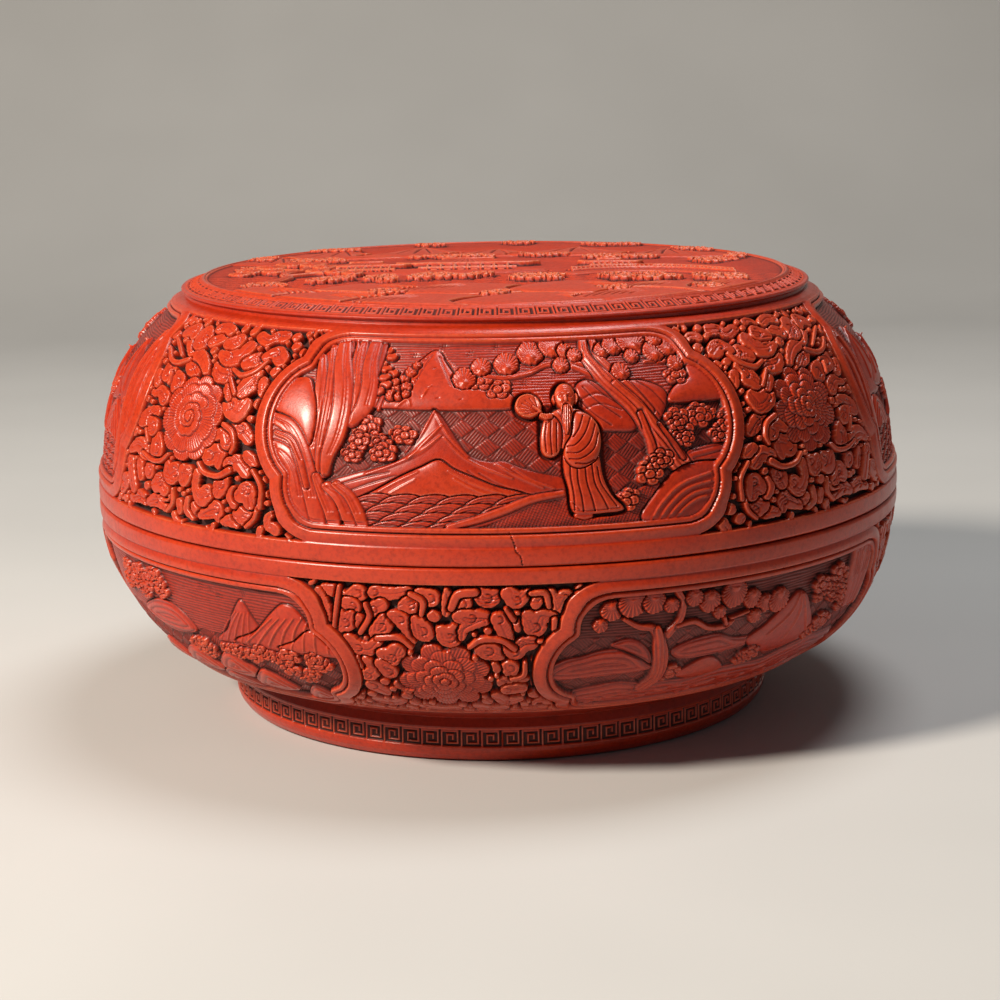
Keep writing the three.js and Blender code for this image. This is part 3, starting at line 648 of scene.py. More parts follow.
# each leaf: (x, y, radius) through its middle, x from the spandrel's centre, y along the wall from the seam
leavesLeft = [
    [(-46, 15.5, 3.2), (-42.5, 18, 3.0)],
    [(-36.5, 11.5, 1.6), (-29.5, 13.6, 2.5), (-23.5, 12.6, 2.0)],
    [(-22, 12.3, 1.7), (-16.5, 14.2, 2.6), (-12.5, 13.2, 2.2), (-8.6, 11.2, 1.2)],
    [(-11.8, 15.8, 1.2), (-9, 17.2, 2.4)],
    [(0, 12, 1.3), (-0.6, 15.4, 1.7)],
    [(5, 18, 1.1), (4.4, 13, 1.3), (8, 10.8, 1.2)],
    [(9.3, 15, 2.2), (11.5, 14.4, 2.9)],
    [(12, 11.8, 1.4), (16, 14.2, 2.6), (20.5, 15.6, 2.9), (21.4, 12.2, 1.6)],
    [(24.5, 11, 1.3), (28, 12, 2.1), (31, 10.6, 1.2)],
    [(31.8, 15.2, 2.6), (35.8, 14, 3.3)],
    [(-38.5, 26.5, 2.7), (-37, 22.3, 2.4), (-34.6, 16.8, 2.4)],
    [(-30.5, 27, 2.1), (-29, 22, 1.8)],
    [(-22.5, 25.2, 3.0), (-21.5, 29, 1.7)],
    [(-16.5, 20, 2.6), (-13, 22.2, 3.2), (-10.3, 19.3, 2.4), (-10.8, 23.6, 1.4)],
    [(-9.6, 30.6, 1.3), (-7.5, 26, 3.3), (-4.2, 27.4, 3.4)],
    [(1.2, 29.4, 1.9), (2.2, 25, 2.3), (4.6, 28.6, 2.5)],
    [(9.6, 29, 1.7), (9, 23, 1.8), (12.2, 19, 2.7), (15.4, 21.6, 2.9)],
    [(25, 28.8, 1.3), (22.6, 26, 3.1), (21.2, 22.6, 2.3)],
    [(29.2, 25, 1.3), (27.8, 21.6, 1.6), (29.6, 18.8, 1.6)],
    [(32.6, 22.4, 2.5), (35.6, 25, 2.9), (36.8, 20.4, 2.5)],
    [(-39, 31.6, 1.6), (-33.2, 34.4, 2.6), (-27.4, 33.4, 3.3), (-23.4, 30.6, 1.4)],
    [(-19, 39, 2.5), (-18.2, 35, 3.8)],
    [(15.4, 36.6, 3.6), (20.6, 38.4, 2.8), (20.2, 33.2, 1.5)],
    [(26.6, 34, 2.7), (30.6, 35.6, 2.6), (34.2, 32.6, 2.5)],
    [(-34.4, 44.6, 2.6), (-29.2, 47.2, 3.3), (-23.4, 50, 2.1)],
    [(-26.4, 45, 2.0), (-23.4, 43.4, 3.2)],
    [(16.6, 44, 1.5), (21.2, 46.4, 2.3), (23.6, 43, 2.7)],
    [(25.2, 50.4, 1.7), (29.6, 48.6, 2.7), (33.6, 45.4, 2.3)],
    [(34.6, 38.4, 1.9), (37.8, 36.6, 2.1)],
    [(-31.6, 57, 1.5), (-26.2, 58.4, 2.2), (-21.4, 56, 2.9)],
    [(20.2, 62, 1.7), (21.6, 57.4, 3.4), (26.4, 55, 3.2), (28.6, 58, 3.0)],
    [(16.4, 65, 2.0), (19, 61.4, 1.8)],
    [(-19.6, 66, 2.5), (-16.4, 63.4, 3.7)],
    [(-34.6, 65.4, 2.1), (-31.4, 62, 2.3)],
    [(-28.4, 70, 3.0), (-27, 67.4, 4.0)],
    [(30.4, 73, 1.4), (28.2, 68.4, 3.7), (25.4, 64.6, 3.0)],
    [(33.8, 69, 2.0), (35.6, 65, 2.1)],
    [(-14.6, 73.4, 2.8), (-11.4, 71.8, 3.4), (-6.6, 68.8, 1.7)],
    [(-27.4, 83, 1.5), (-18.6, 79, 2.6), (-9.4, 76.6, 2.4), (-3.2, 73, 2.0), (0, 69.6, 1.4)],
    [(3.4, 74, 1.6), (7.6, 71, 3.2), (12.4, 70.6, 3.3)],
    [(2.6, 79.6, 1.8), (8.6, 78.4, 3.3), (14.6, 79.2, 3.3), (16.6, 84, 3.2)],
    [(20.6, 76.8, 2.7), (25.2, 78.8, 3.1), (29.2, 76.2, 1.6)],
    [(28.8, 81, 2.1), (33.2, 83, 3.1), (37.4, 80.6, 3.0)],
    [(-20.4, 88, 3.6), (-17.6, 85, 4.4), (-13.6, 83, 2.2)],
    [(-9.4, 85, 2.7), (-4.4, 87.4, 2.6)],
    [(2.2, 85, 2.5), (7.2, 86.4, 3.5)],
    [(-36.4, 87, 2.6), (-31, 89, 2.9), (-27.4, 86, 2.0)],
    [(18.2, 91, 2.2), (24.4, 89, 2.4), (27.6, 91.6, 2.6), (32.4, 92, 2.6)],
    [(-12.4, 92, 2.4), (-7.4, 93, 2.2), (-2.4, 91.6, 2.2)],
]
stemsLeft = [
    [(-4.4, 20.4, 0.9), (-4.4, 15, 1.1), (-8, 11, 0.9)],
    [(41.2, 21, 0.9), (39.6, 14.6, 1.0), (35.6, 10.6, 0.9)],
    [(38, 33, 0.9), (42, 27, 1.0), (42, 19, 1.1)],
    [(-28, 32, 0.9), (-21, 30, 1.0), (-14, 30.6, 1.1), (-9, 34, 0.9)],
    [(10, 33, 0.9), (13.6, 29.6, 1.1), (20.6, 29, 1.2), (26.6, 32, 1.5)],
    [(-28.4, 41.6, 0.9), (-25.4, 37, 1.0)],
    [(20.6, 49.6, 1.2), (25.6, 47, 1.2), (27.6, 42, 1.1), (26.6, 39, 0.9)],
    [(-24, 67, 0.9), (-22, 62.6, 1.1)],
    [(16, 69, 0.9), (21.6, 62.6, 1.0)],
    [(-38, 77, 1.0), (-30.4, 72.6, 1.1), (-23.4, 72, 1.2), (-16.4, 74.6, 1.0)],
    [(15.6, 73, 1.0), (21.2, 71, 1.2), (27.6, 73.6, 1.2), (31.6, 78.6, 0.9)],
    [(-24, 75.4, 0.8), (-33, 80, 1.0), (-40, 83, 0.8)],
]

leavesBase = [
    [(-43.5, 9.8, 1.3), (-39, 11.2, 2.2), (-34.5, 13.4, 2.0), (-30, 11.4, 3.0)],
    [(-34.5, 15.6, 2.3), (-32.4, 16.8, 2.8)],
    [(-23.5, 10.6, 2.4), (-17, 10.8, 2.2), (-11.5, 9.6, 1.8)],
    [(-12.4, 16, 2.6), (-10.2, 15, 3.0)],
    [(-7, 9.8, 1.6), (-3, 12.2, 3.0)],
    [(3, 8.8, 1.0), (3.2, 13.2, 1.9), (2.4, 18, 1.4)],
    [(8.4, 14.4, 2.9), (9.4, 12, 2.0)],
    [(14.4, 9.4, 1.6), (17.4, 12.2, 3.3), (21, 10.4, 1.6)],
    [(25.4, 10.4, 2.6), (28, 13, 2.8), (32, 9.8, 1.2)],
    [(34.6, 14.8, 1.8), (36.6, 12.6, 1.7)],
    [(40.6, 10.6, 1.6), (42.6, 17, 1.9), (45.2, 12.6, 2.5), (48.2, 14.6, 2.2)],
    [(-45.4, 11.4, 1.5), (-43.8, 17, 2.0), (-42, 23, 1.5)],
    [(-38.6, 19.6, 1.6), (-36, 24.4, 3.1), (-33.4, 20.8, 1.6), (-38.4, 26.6, 1.8)],
    [(-30, 21.6, 1.5), (-29.6, 25.6, 1.9), (-27.4, 22.6, 1.3)],
    [(-24.4, 17.8, 2.6), (-21.6, 15.8, 2.3)],
    [(-24.8, 27.6, 2.2), (-21.6, 25, 3.0), (-20.4, 22.2, 2.4)],
    [(-17.6, 19.4, 1.6), (-14.4, 21.4, 2.6), (-11.8, 26, 2.2), (-10.4, 31.2, 1.0)],
    [(-8.4, 21.6, 2.0), (-6.6, 26.4, 3.3), (-5, 29, 1.6)],
    [(0.6, 25.6, 2.0), (3.4, 28.8, 3.6), (6.4, 24.2, 2.0)],
    [(7.2, 19.6, 2.3), (11.6, 20.4, 3.0), (16, 20.6, 2.4), (9, 24.6, 1.8), (7.8, 29, 1.2)],
    [(21.6, 20.8, 2.6), (23.2, 25.4, 2.5), (24.6, 29.4, 1.9)],
    [(27.6, 22, 1.2), (28.4, 25, 1.3)],
    [(32.2, 19.8, 2.2), (34.6, 24.8, 3.4), (36.4, 20, 2.2), (40.4, 20.6, 2.0)],
    [(47, 18.6, 1.0), (46, 22.6, 1.3)],
    [(-35.6, 31.6, 2.2), (-32.4, 35.4, 2.9), (-28, 35.6, 2.6), (-24.6, 32.2, 1.8)],
    [(-22.6, 37.4, 2.4), (-19.4, 39, 3.2), (-17.4, 36, 3.0)],
    [(14.6, 34.4, 2.2), (17.4, 35, 3.4), (21.6, 36.8, 2.2)],
    [(24.6, 32, 1.8), (27, 36, 2.9), (30.4, 32.6, 2.6), (33, 32, 2.6)],
    [(-30, 41, 1.6), (-27.6, 46, 2.3), (-31, 49.6, 2.8)],
    [(-24.4, 43, 2.3), (-22, 47, 3.0)],
    [(25.4, 43.4, 3.0), (25.6, 46.4, 2.0)],
    [(19.6, 41.6, 1.2), (20.4, 44.4, 1.4)],
    [(22.6, 52, 2.4), (26.4, 49.8, 1.6), (31.6, 50.6, 1.3)],
    [(24.4, 56.4, 2.4), (29.6, 55.6, 2.4)],
    [(-30.4, 56.4, 3.0), (-26.4, 60, 2.4)],
    [(-19, 54, 2.0), (-15.6, 57, 2.2)],
    [(20, 61, 2.0), (24, 66, 2.6), (29, 64, 2.0)],
    [(-32, 68, 2.4), (-27, 71, 2.8), (-21, 68, 2.0)],
    [(12, 70, 2.2), (17, 73, 2.6), (23, 72, 2.2)],
    [(-12, 73, 2.4), (-5, 75, 2.4), (2, 74, 2.2)],
]
stemsBase = [
    [(-41.5, 29.8, 0.8), (-38.4, 15.6, 1.0), (-37, 9, 0.9)],
    [(-27.4, 15.6, 1.0), (-26.4, 21, 1.1), (-30.4, 28, 1.1)],
    [(-10.4, 10.6, 1.0), (-6, 13.6, 1.2), (-6.6, 19, 1.0)],
    [(13, 9.6, 1.6), (7, 10.6, 1.6), (4.4, 16, 1.4)],
    [(33, 10.4, 1.0), (38, 10.6, 1.2), (39.4, 16, 1.0)],
    [(24, 16.6, 0.9), (26.6, 21, 1.2)],
    [(-24, 30, 1.3), (-16, 29.4, 1.2), (-11.4, 33.6, 1.0)],
    [(10.4, 33, 1.0), (15, 29.6, 1.3), (22, 30, 1.2), (27, 34, 1.2)],
    [(41.6, 21.6, 1.2), (41, 30, 1.0), (36, 31, 0.8)],
    [(31, 41, 0.9), (30.6, 47.6, 1.2), (26, 49.4, 1.0)],
    [(-33.6, 40, 0.9), (-33, 45, 1.0)],
]


def flip(paths):
    return [[(-x, y, r) for x, y, r in path] for path in paths]


# A field's sunk ground in mm, how much fuller than drawn its leaves and stems are cut, its small curls' sizes
spandrels = {"ground": -4.1, "leafSize": 1.3, "stemSize": 1.05, "curls": (2.9, 2.4, 1.9, 1.5, 1.25)}


# One field of scrolling leaves with a peony, between two frames
def spandrel(half, leaves, stems, seed, turn, twist):
    wall, form = walls[half], halves[half]
    r = Relief(-68, 68, 0, wall.length, spandrels["ground"])
    for n, path in enumerate(leaves):
        leaf = [(x, y, size * spandrels["leafSize"]) for x, y, size in path]
        r.leaf(leaf, top=-0.2 - 0.6 * ((n * 7) % 5) / 4, comb=0.6 + 0.4 * (n % 2), scallop=0.3, moat=0.62,
            gap=-3.3)
    for path in stems:
        r.bead([(x, y, size * spandrels["stemSize"]) for x, y, size in path], top=-0.1, dome=0.35, moat=0.6,
            gap=-3.2)
    peony(r, 0, form["peonyHeight"], form["peonyRadius"], turn, twist)
    r.fill(spandrels["curls"], seed, -3.7, (-66, 66, form["rim"] + 0.4, wall.length - 2.4))
    return r


# picture motifs
# A bank of blossom or cloud: lobed heads, each lobe with a curl cut into it
def flowers(r, cx, cy, wide, tall, seed, top=-0.9):
    rng = np.random.default_rng(seed)
    count = max(2, round(wide * tall / 24))
    for k in range(count):
        x = cx + (rng.random() - 0.5) * max(1.5, wide - 3.5)
        y = cy + (0.5 - (k + 0.5) / count) * max(1.0, tall - 1.5)
        size = rng.uniform(2.6, 4.0)
        for n in range(6):
            heart = n == 5
            a = 0.5 + k + n * 2 * math.pi / 5
            reach = size * (0 if heart else 0.85)
            blob = size * (0.42 if heart else 0.5)
            lx, ly = x + reach * math.cos(a), y + 0.72 * reach * math.sin(a)
            lobe = [(lx - 0.1 * size, ly, blob), (lx + 0.1 * size, ly, 0.95 * blob)]
            height = top - 0.2 * (n % 2) + 0.3 * heart
            r.leaf(lobe, top=height, comb=0, dome=0.6, scallop=0.0, moat=0.3, gap=-2.8, eye=False)
            curl = [(lx + 0.45 * blob * math.cos(a + t), ly + 0.45 * blob * math.sin(a + t), 0.24)
                    for t in (-1.9, -0.9, 0.1, 1.1)]
            r.cut(curl, depth=0.5)


# Leaning crests, each cut with lines that follow it
def waves(r, x0, x1, y0, y1, top, size=6.4):
    for j in range(int((y1 - y0) / (size * 0.58)) + 1, -1, -1):
        y = y0 + j * size * 0.58
        x = x0 + (j % 2) * size * 0.85
        while x < x1 + size:
            found = r.area(x - size * 1.5, x + size * 1.5, y - size, y + size * 1.2)
            if found:
                part, gx, gy = found
                along, across = (gx - x) * 0.78 + (gy - y) * 0.5, (gy - y) * 1.1 - (gx - x) * 0.3
                rho = np.hypot(along * 0.62, across)
                lines = knife(rho + 0.15 * along, 1.2, 0.4) * smooth((size * 0.75 - rho) / 0.5)
                crest = top - 0.9 * (1 - rho / (0.78 * size)) - 0.5 * lines
                r.lay(part, np.maximum(rho - size * 0.78, -across - size * 0.3), crest, 0.35, -3.0)
            x += size * 1.75


# Overlapping flat strips of rock with a few long knife cuts in each
def folds(r, paths, top, dome):
    for n, path in enumerate(paths):
        strip = [(x, y, w * 1.22) for x, y, w in path]
        r.bead(strip, top=top, dome=0.3 * dome, moat=0.3, gap=-2.0, lean=0.5)
        for aside in (-0.5, 0.0, 0.35) if n % 2 else (0.45, 0.1):
            r.cut([(x + aside * w, y, 0.3) for x, y, w in path[:-1]], depth=0.4)


# A small star in the sky, four crossed cuts
def mark(r, x, y, depth=0.3):
    for dx, dy in ((0.5, 1.5), (-0.5, 1.5)):
        r.cut([(x + dx - 0.3, y - dy, 0.3), (x + dx + 0.3, y + dy, 0.3)], depth=depth)
    for dy in (-0.6, 0.6):
        r.cut([(x - 1.8, y + dy, 0.3), (x + 1.8, y + dy, 0.3)], depth=depth)


# The ground of a picture: hatched lozenges below the horizon and rippled sky above it
def field(half, floor, horizon, sky):
    r = Relief(-101, 101, 0, walls[half].length, floor)
    gx, gy = np.meshgrid(r.x, r.y)
    above = smooth((gy - horizon) * halves[half]["outwards"] / 0.6)
    r.h = lattice(gx, gy, floor) * (1 - above) + ripples(gx, gy, sky) * above
    return r


# Front panel of the lid, in mm: x from the panel's middle, y up the wall from the seam. Outlines are points,
# trunks and folds paths of (x, y, radius), blossom banks (x, y, width, height, seed)
frontPanel = {
    "stars": [(-36, 86), (-12, 87), (-1, 90), (10, 72.5), (22, 75.5), (-24, 90.5), (32, 72)],
    "farHill": [(-54, 62.2), (-52, 66), (-45.4, 71.4), (-38, 77.6), (-33, 83.4), (-28.4, 88.2), (-25, 87.8),
                (-21.4, 82), (-17, 76.4), (-9, 73.6), (0, 71), (5, 67), (6.6, 63.4), (4, 61.4), (-8, 61.2),
                (-20, 61), (-32, 61.2), (-42, 61.4)],
    "farHillFolds": [
        [(-31, 84), (-37, 77), (-44, 70)],
        [(-29.6, 85), (-34, 78), (-39, 70)],
        [(-28, 86), (-31, 79), (-34, 71)],
        [(-23, 84), (-18, 77), (-12, 72)],
        [(-25, 85), (-22, 78), (-19, 71)],
        [(-40, 73), (-45, 68), (-50, 64)],
    ],
    "farHillNicks": [(-30, 66), (-24, 65.5), (-15, 65), (-33, 74), (-26, 79), (-18, 72), (-28, 70)],
    "farHillNeedles": [(-38.5, 73.5, 2), (-36, 77.5, 2), (-40.5, 70, 2), (-37, 70.5, 1.8), (-42.5, 66.8, 2),
                       (-39.5, 66.4, 1.6), (-34, 80.5, 1.5), (-36.8, 67.4, 1.4)],
    "farHillBranches": [
        [(-22, 84, .5), (-18, 80.5, .6), (-16, 78, .5)],
        [(-30, 66, .6), (-28.5, 69.5, .7), (-27, 71, .5)],
        [(-40, 61.8, .5), (-36, 65, .7), (-34.5, 62.5, .6)],
    ],
    "leftTreeLeaves": [(-51, 83.5), (-48, 87), (-45.5, 84), (-49, 80), (-46.5, 78), (-43.5, 76),
                       (-46.5, 74), (-42.5, 72), (-45.5, 70.8), (-48, 68)],
    "leftBlossom": [(-50, 53.5, 9, 5, 1), (-45.5, 48, 9, 5, 2), (-36.5, 51, 7, 3.4, 3),
                    (-57.5, 42.4, 8, 3, 4), (-45, 43.4, 10, 3, 5), (-53, 48, 5, 4, 6)],
    "peakedHill": [(-66, 30), (-56, 34.6), (-45, 38), (-36, 42), (-31, 49), (-27.5, 57), (-25, 61.4),
                   (-21, 57), (-16, 49), (-11, 42.6), (-4, 40.4), (1, 40.6), (6, 38.4), (14, 35.6),
                   (22, 33.4), (26, 28), (20, 20), (0, 17), (-40, 17), (-60, 22)],
    "peakedHillFolds": [
        [(-25, 60.6, .5), (-29.5, 52, 1.2), (-36, 42.6, .8)],
        [(-22, 54.5, .5), (-27, 49, 1.1), (-34, 41.6, .8)],
        [(-22, 50.6, .5), (-29, 44.8, 1.2), (-39, 39.4, .9), (-50, 35, .7)],
        [(-25, 60.6, .5), (-19, 50.4, .9), (-12, 42.4, .6)],
        [(-21, 50, .5), (-14, 42.6, .9), (-6, 38, .7), (4, 34, .5)],
        [(-2, 39.6, .5), (6, 34.6, .8), (15, 30, .5)],
        [(4, 38, .5), (11, 33, .7), (19, 29.6, .5)],
    ],
    "peakedHillLines": [
        [(-60, 30.6, .4), (-50, 34, .7), (-41, 36.2, .4)],
        [(-56, 28.4, .4), (-47, 32, .7), (-38, 35, .4)],
        [(-8, 36, .4), (0, 31, .6), (8, 28, .4)],
        [(-12, 37, .4), (-6, 32, .6), (0, 28.4, .4)],
    ],
    "lowerHill": [(-54, 24), (-46, 29), (-37, 34.4), (-29, 38.4), (-22.6, 41.2), (-17, 37.6), (-9, 34),
                  (-1, 30.6), (8, 28), (14, 23), (-20, 18), (-50, 19)],
    "lowerHillFolds": [
        [(-48, 26.4, .4), (-39, 32, .7), (-30, 36.6, .4)],
        [(-44, 25.6, .3), (-37, 30, .6), (-31, 33.6, .3)],
        [(-19, 37, .4), (-10, 32, .6), (0, 28.4, .4)],
        [(-17, 34, .4), (-9, 29.6, .6), (-2, 26.6, .4)],
    ],
    "path": [(-20, 14), (-10, 18.4), (0, 22), (10, 26), (20, 28), (26, 27), (46, 26), (58, 30), (60, 20),
             (58, 13), (10, 12)],
    "stones": [(-12, 13.5), (-4, 17), (6, 21.6), (14, 25), (22, 26), (30, 25), (44, 25), (56, 29), (60, 20),
               (58, 13), (20, 12)],
    "pathEdge": [(-19, 15.4, 1.1), (-9, 18.2, 1.5), (1, 21.8, 1.6), (11, 25.8, 1.5), (22, 27.6, 1.2)],
    "rightHill": [(30, 69), (34, 73), (39, 71.4), (44, 67), (50, 61), (53, 55), (51, 50.6), (44, 50.6),
                  (37, 52), (33, 59)],
    "rightHillBehind": [(50, 69.6), (54, 71.6), (60, 70.6), (66, 67), (67, 62.6), (63, 55), (59, 52),
                        (55, 58), (52, 64)],
    "rightHillFolds": [
        [(36, 72), (41, 66), (48, 60)],
        [(33, 69.6), (38, 63), (46, 56)],
        [(31.4, 64), (36, 58), (42, 53)],
        [(56, 70.6), (61, 66), (65, 60)],
        [(53, 68), (58, 62), (62, 56)],
    ],
    "farRocks": [(67.4, 60.8), (70, 66), (75, 69.2), (79, 70.6), (80, 76.4), (83, 77.6), (88, 74.6),
                 (92, 68), (94, 60.4), (80, 60)],
    "rightHillLines": [
        [(31, 64, .4), (38, 66.4, .7), (45, 64, .4)],
        [(32, 60, .4), (39, 62, .6), (47, 59, .4)],
    ],
    "rightBlossom": [(82, 54.6, 13, 6, 11), (72, 46.6, 11, 6, 12), (85, 45.6, 8, 4, 13),
                     (72, 72.6, 10, 4.4, 14), (68.6, 53, 5, 7, 15), (91, 51, 4, 8, 16)],
    "rightRocks": [(70, 35), (71, 39.6), (76, 41.4), (86, 42), (93, 41), (90, 34), (80, 32)],
    "topBranch": [(-6, 75.6, .8), (3, 74.8, 1.1), (12, 76.8, 1.2), (20, 80.6, 1.3), (30, 79.6, 1.6),
                  (38, 75.4, 1.9)],
    "upperTwig": [(24, 83, .7), (30, 82, 1.0), (36, 79, 1.2)],
    "rightTwig": [(62, 79.4, .8), (68, 79.2, 1.0), (76, 78, .9), (80, 77, .7)],
    "sideTrunk": [(42, 92, 1.8), (42.6, 83, 2.2), (47.6, 74.6, 2.3), (53, 66, 2.3), (58, 58, 2.2)],
    "trunk": [(37.4, 92.4, 2.0), (37, 84, 2.6), (40.6, 76, 3.1), (47, 67, 3.5), (53.4, 58.6, 3.8),
              (58.6, 49, 4.3), (64, 41, 4.6), (69, 34, 4.0)],
    "trunkRidge": [(46, 70, 1.2), (54, 60, 1.5), (61, 49, 1.7), (68, 39, 1.5)],
    "lowerTrunk": [(54, 57, 1.2), (55.6, 50, 1.5), (57, 42, 1.7), (56, 36, 1.3)],
    "root": [(61, 52, 1.0), (65, 45, 1.2), (69, 38, 1.1)],
    "lowerBlossom": [(54, 34.6, 11, 6.6, 21), (47.6, 24, 9, 6, 22), (60, 38, 5, 4, 23)],
    "needles": [(-14, 74.6, 3.9), (-7.4, 80, 3.4), (3, 81.4, 4.2), (13.4, 86.6, 4.6), (23, 90, 4.6),
                (28.4, 87, 2.9), (25.6, 80, 2.8), (32, 84.6, 2.6), (44.6, 86.4, 2.8), (50, 88.6, 3.6),
                (59.4, 90, 5.4), (67.6, 84, 3.9), (75, 86.4, 4.0), (50, 75.6, 3.2), (75.4, 77.6, 2.8),
                (57, 82.6, 2.6), (70.6, 90.6, 3.0)],
    "cornerRocks": [(51, 17), (56, 24), (62, 30.6), (69, 35), (79, 35.8), (86, 34), (86, 26), (82, 17),
                    (76, 12.6), (56, 12.6)],
    "innerCliff": [(-50, 94), (-50, 70), (-53, 56), (-58, 53), (-61, 60), (-66, 94)],
    "innerCliffFolds": [
        [(-66, 95, 1.6), (-62.4, 82, 2.3), (-58.8, 70, 2.5), (-57.6, 60, 1.9)],
        [(-60.6, 95, 1.3), (-58.6, 82, 1.9), (-56, 72, 2.1), (-56.4, 58, 1.8)],
        [(-54.6, 95, 2.2), (-54, 81, 2.6), (-52, 71, 2.8), (-52.4, 62, 2.8), (-56.6, 55.4, 1.6)],
    ],
    "middleCliff": [(-66, 94), (-63, 80), (-60, 70), (-59, 58), (-60, 48), (-63, 40), (-64, 34), (-69, 33),
                    (-72, 44), (-74, 66), (-78, 80), (-74, 89)],
    "middleCliffFolds": [
        [(-77, 83, 1.2), (-73.6, 73, 2.0), (-71.4, 62, 2.2), (-71, 52, 2.2), (-72, 44, 1.8),
         (-69.6, 36, 1.4)],
        [(-73.4, 88, 1.4), (-69.6, 78, 2.2), (-67, 66, 2.4), (-66.6, 56, 2.4), (-67.4, 45, 1.9),
         (-68, 36, 1.3)],
        [(-69.6, 92, 2.2), (-66.6, 81, 3.0), (-63, 70, 3.2), (-61.6, 60, 3.2), (-62.4, 50, 3.0),
         (-64.8, 42, 2.2), (-65.6, 35, 1.3)],
    ],
    "boulder": [(-80, 73), (-76, 68), (-72.6, 60), (-71.8, 52), (-73, 45), (-77, 47.6), (-83, 53),
                (-90, 57.6), (-92, 64), (-88, 71)],
    "lowerCliff": [(-92, 55), (-84, 55.4), (-78, 50), (-73, 43), (-69, 34), (-66, 24), (-63, 14), (-70, 11),
                   (-84, 16), (-92, 34)],
    "lowerCliffFolds": [
        [(-92, 44, 2.0), (-84, 41, 3.0), (-78.6, 34, 3.4), (-76, 25, 3.2), (-75, 13, 3.0)],
        [(-91, 55, 1.8), (-83, 52, 2.5), (-77.4, 45, 2.9), (-73, 35, 2.9), (-70, 25, 2.8), (-67.4, 13, 2.4)],
        [(-88, 49, .9), (-81, 46.6, 1.1), (-76, 39, 1.1), (-72.6, 29, .9)],
        [(-69, 33, 1.3), (-66, 27, 1.9), (-62.6, 20, 2.2), (-61, 13, 2.0)],
        [(-64.6, 29.6, 1.5), (-59.6, 26, 2.1), (-56.4, 20, 2.2), (-54.6, 13, 1.9)],
        [(-61, 30.4, 1.2), (-55.6, 26.4, 1.6), (-52, 20, 1.8), (-50, 14, 1.6)],
    ],
}


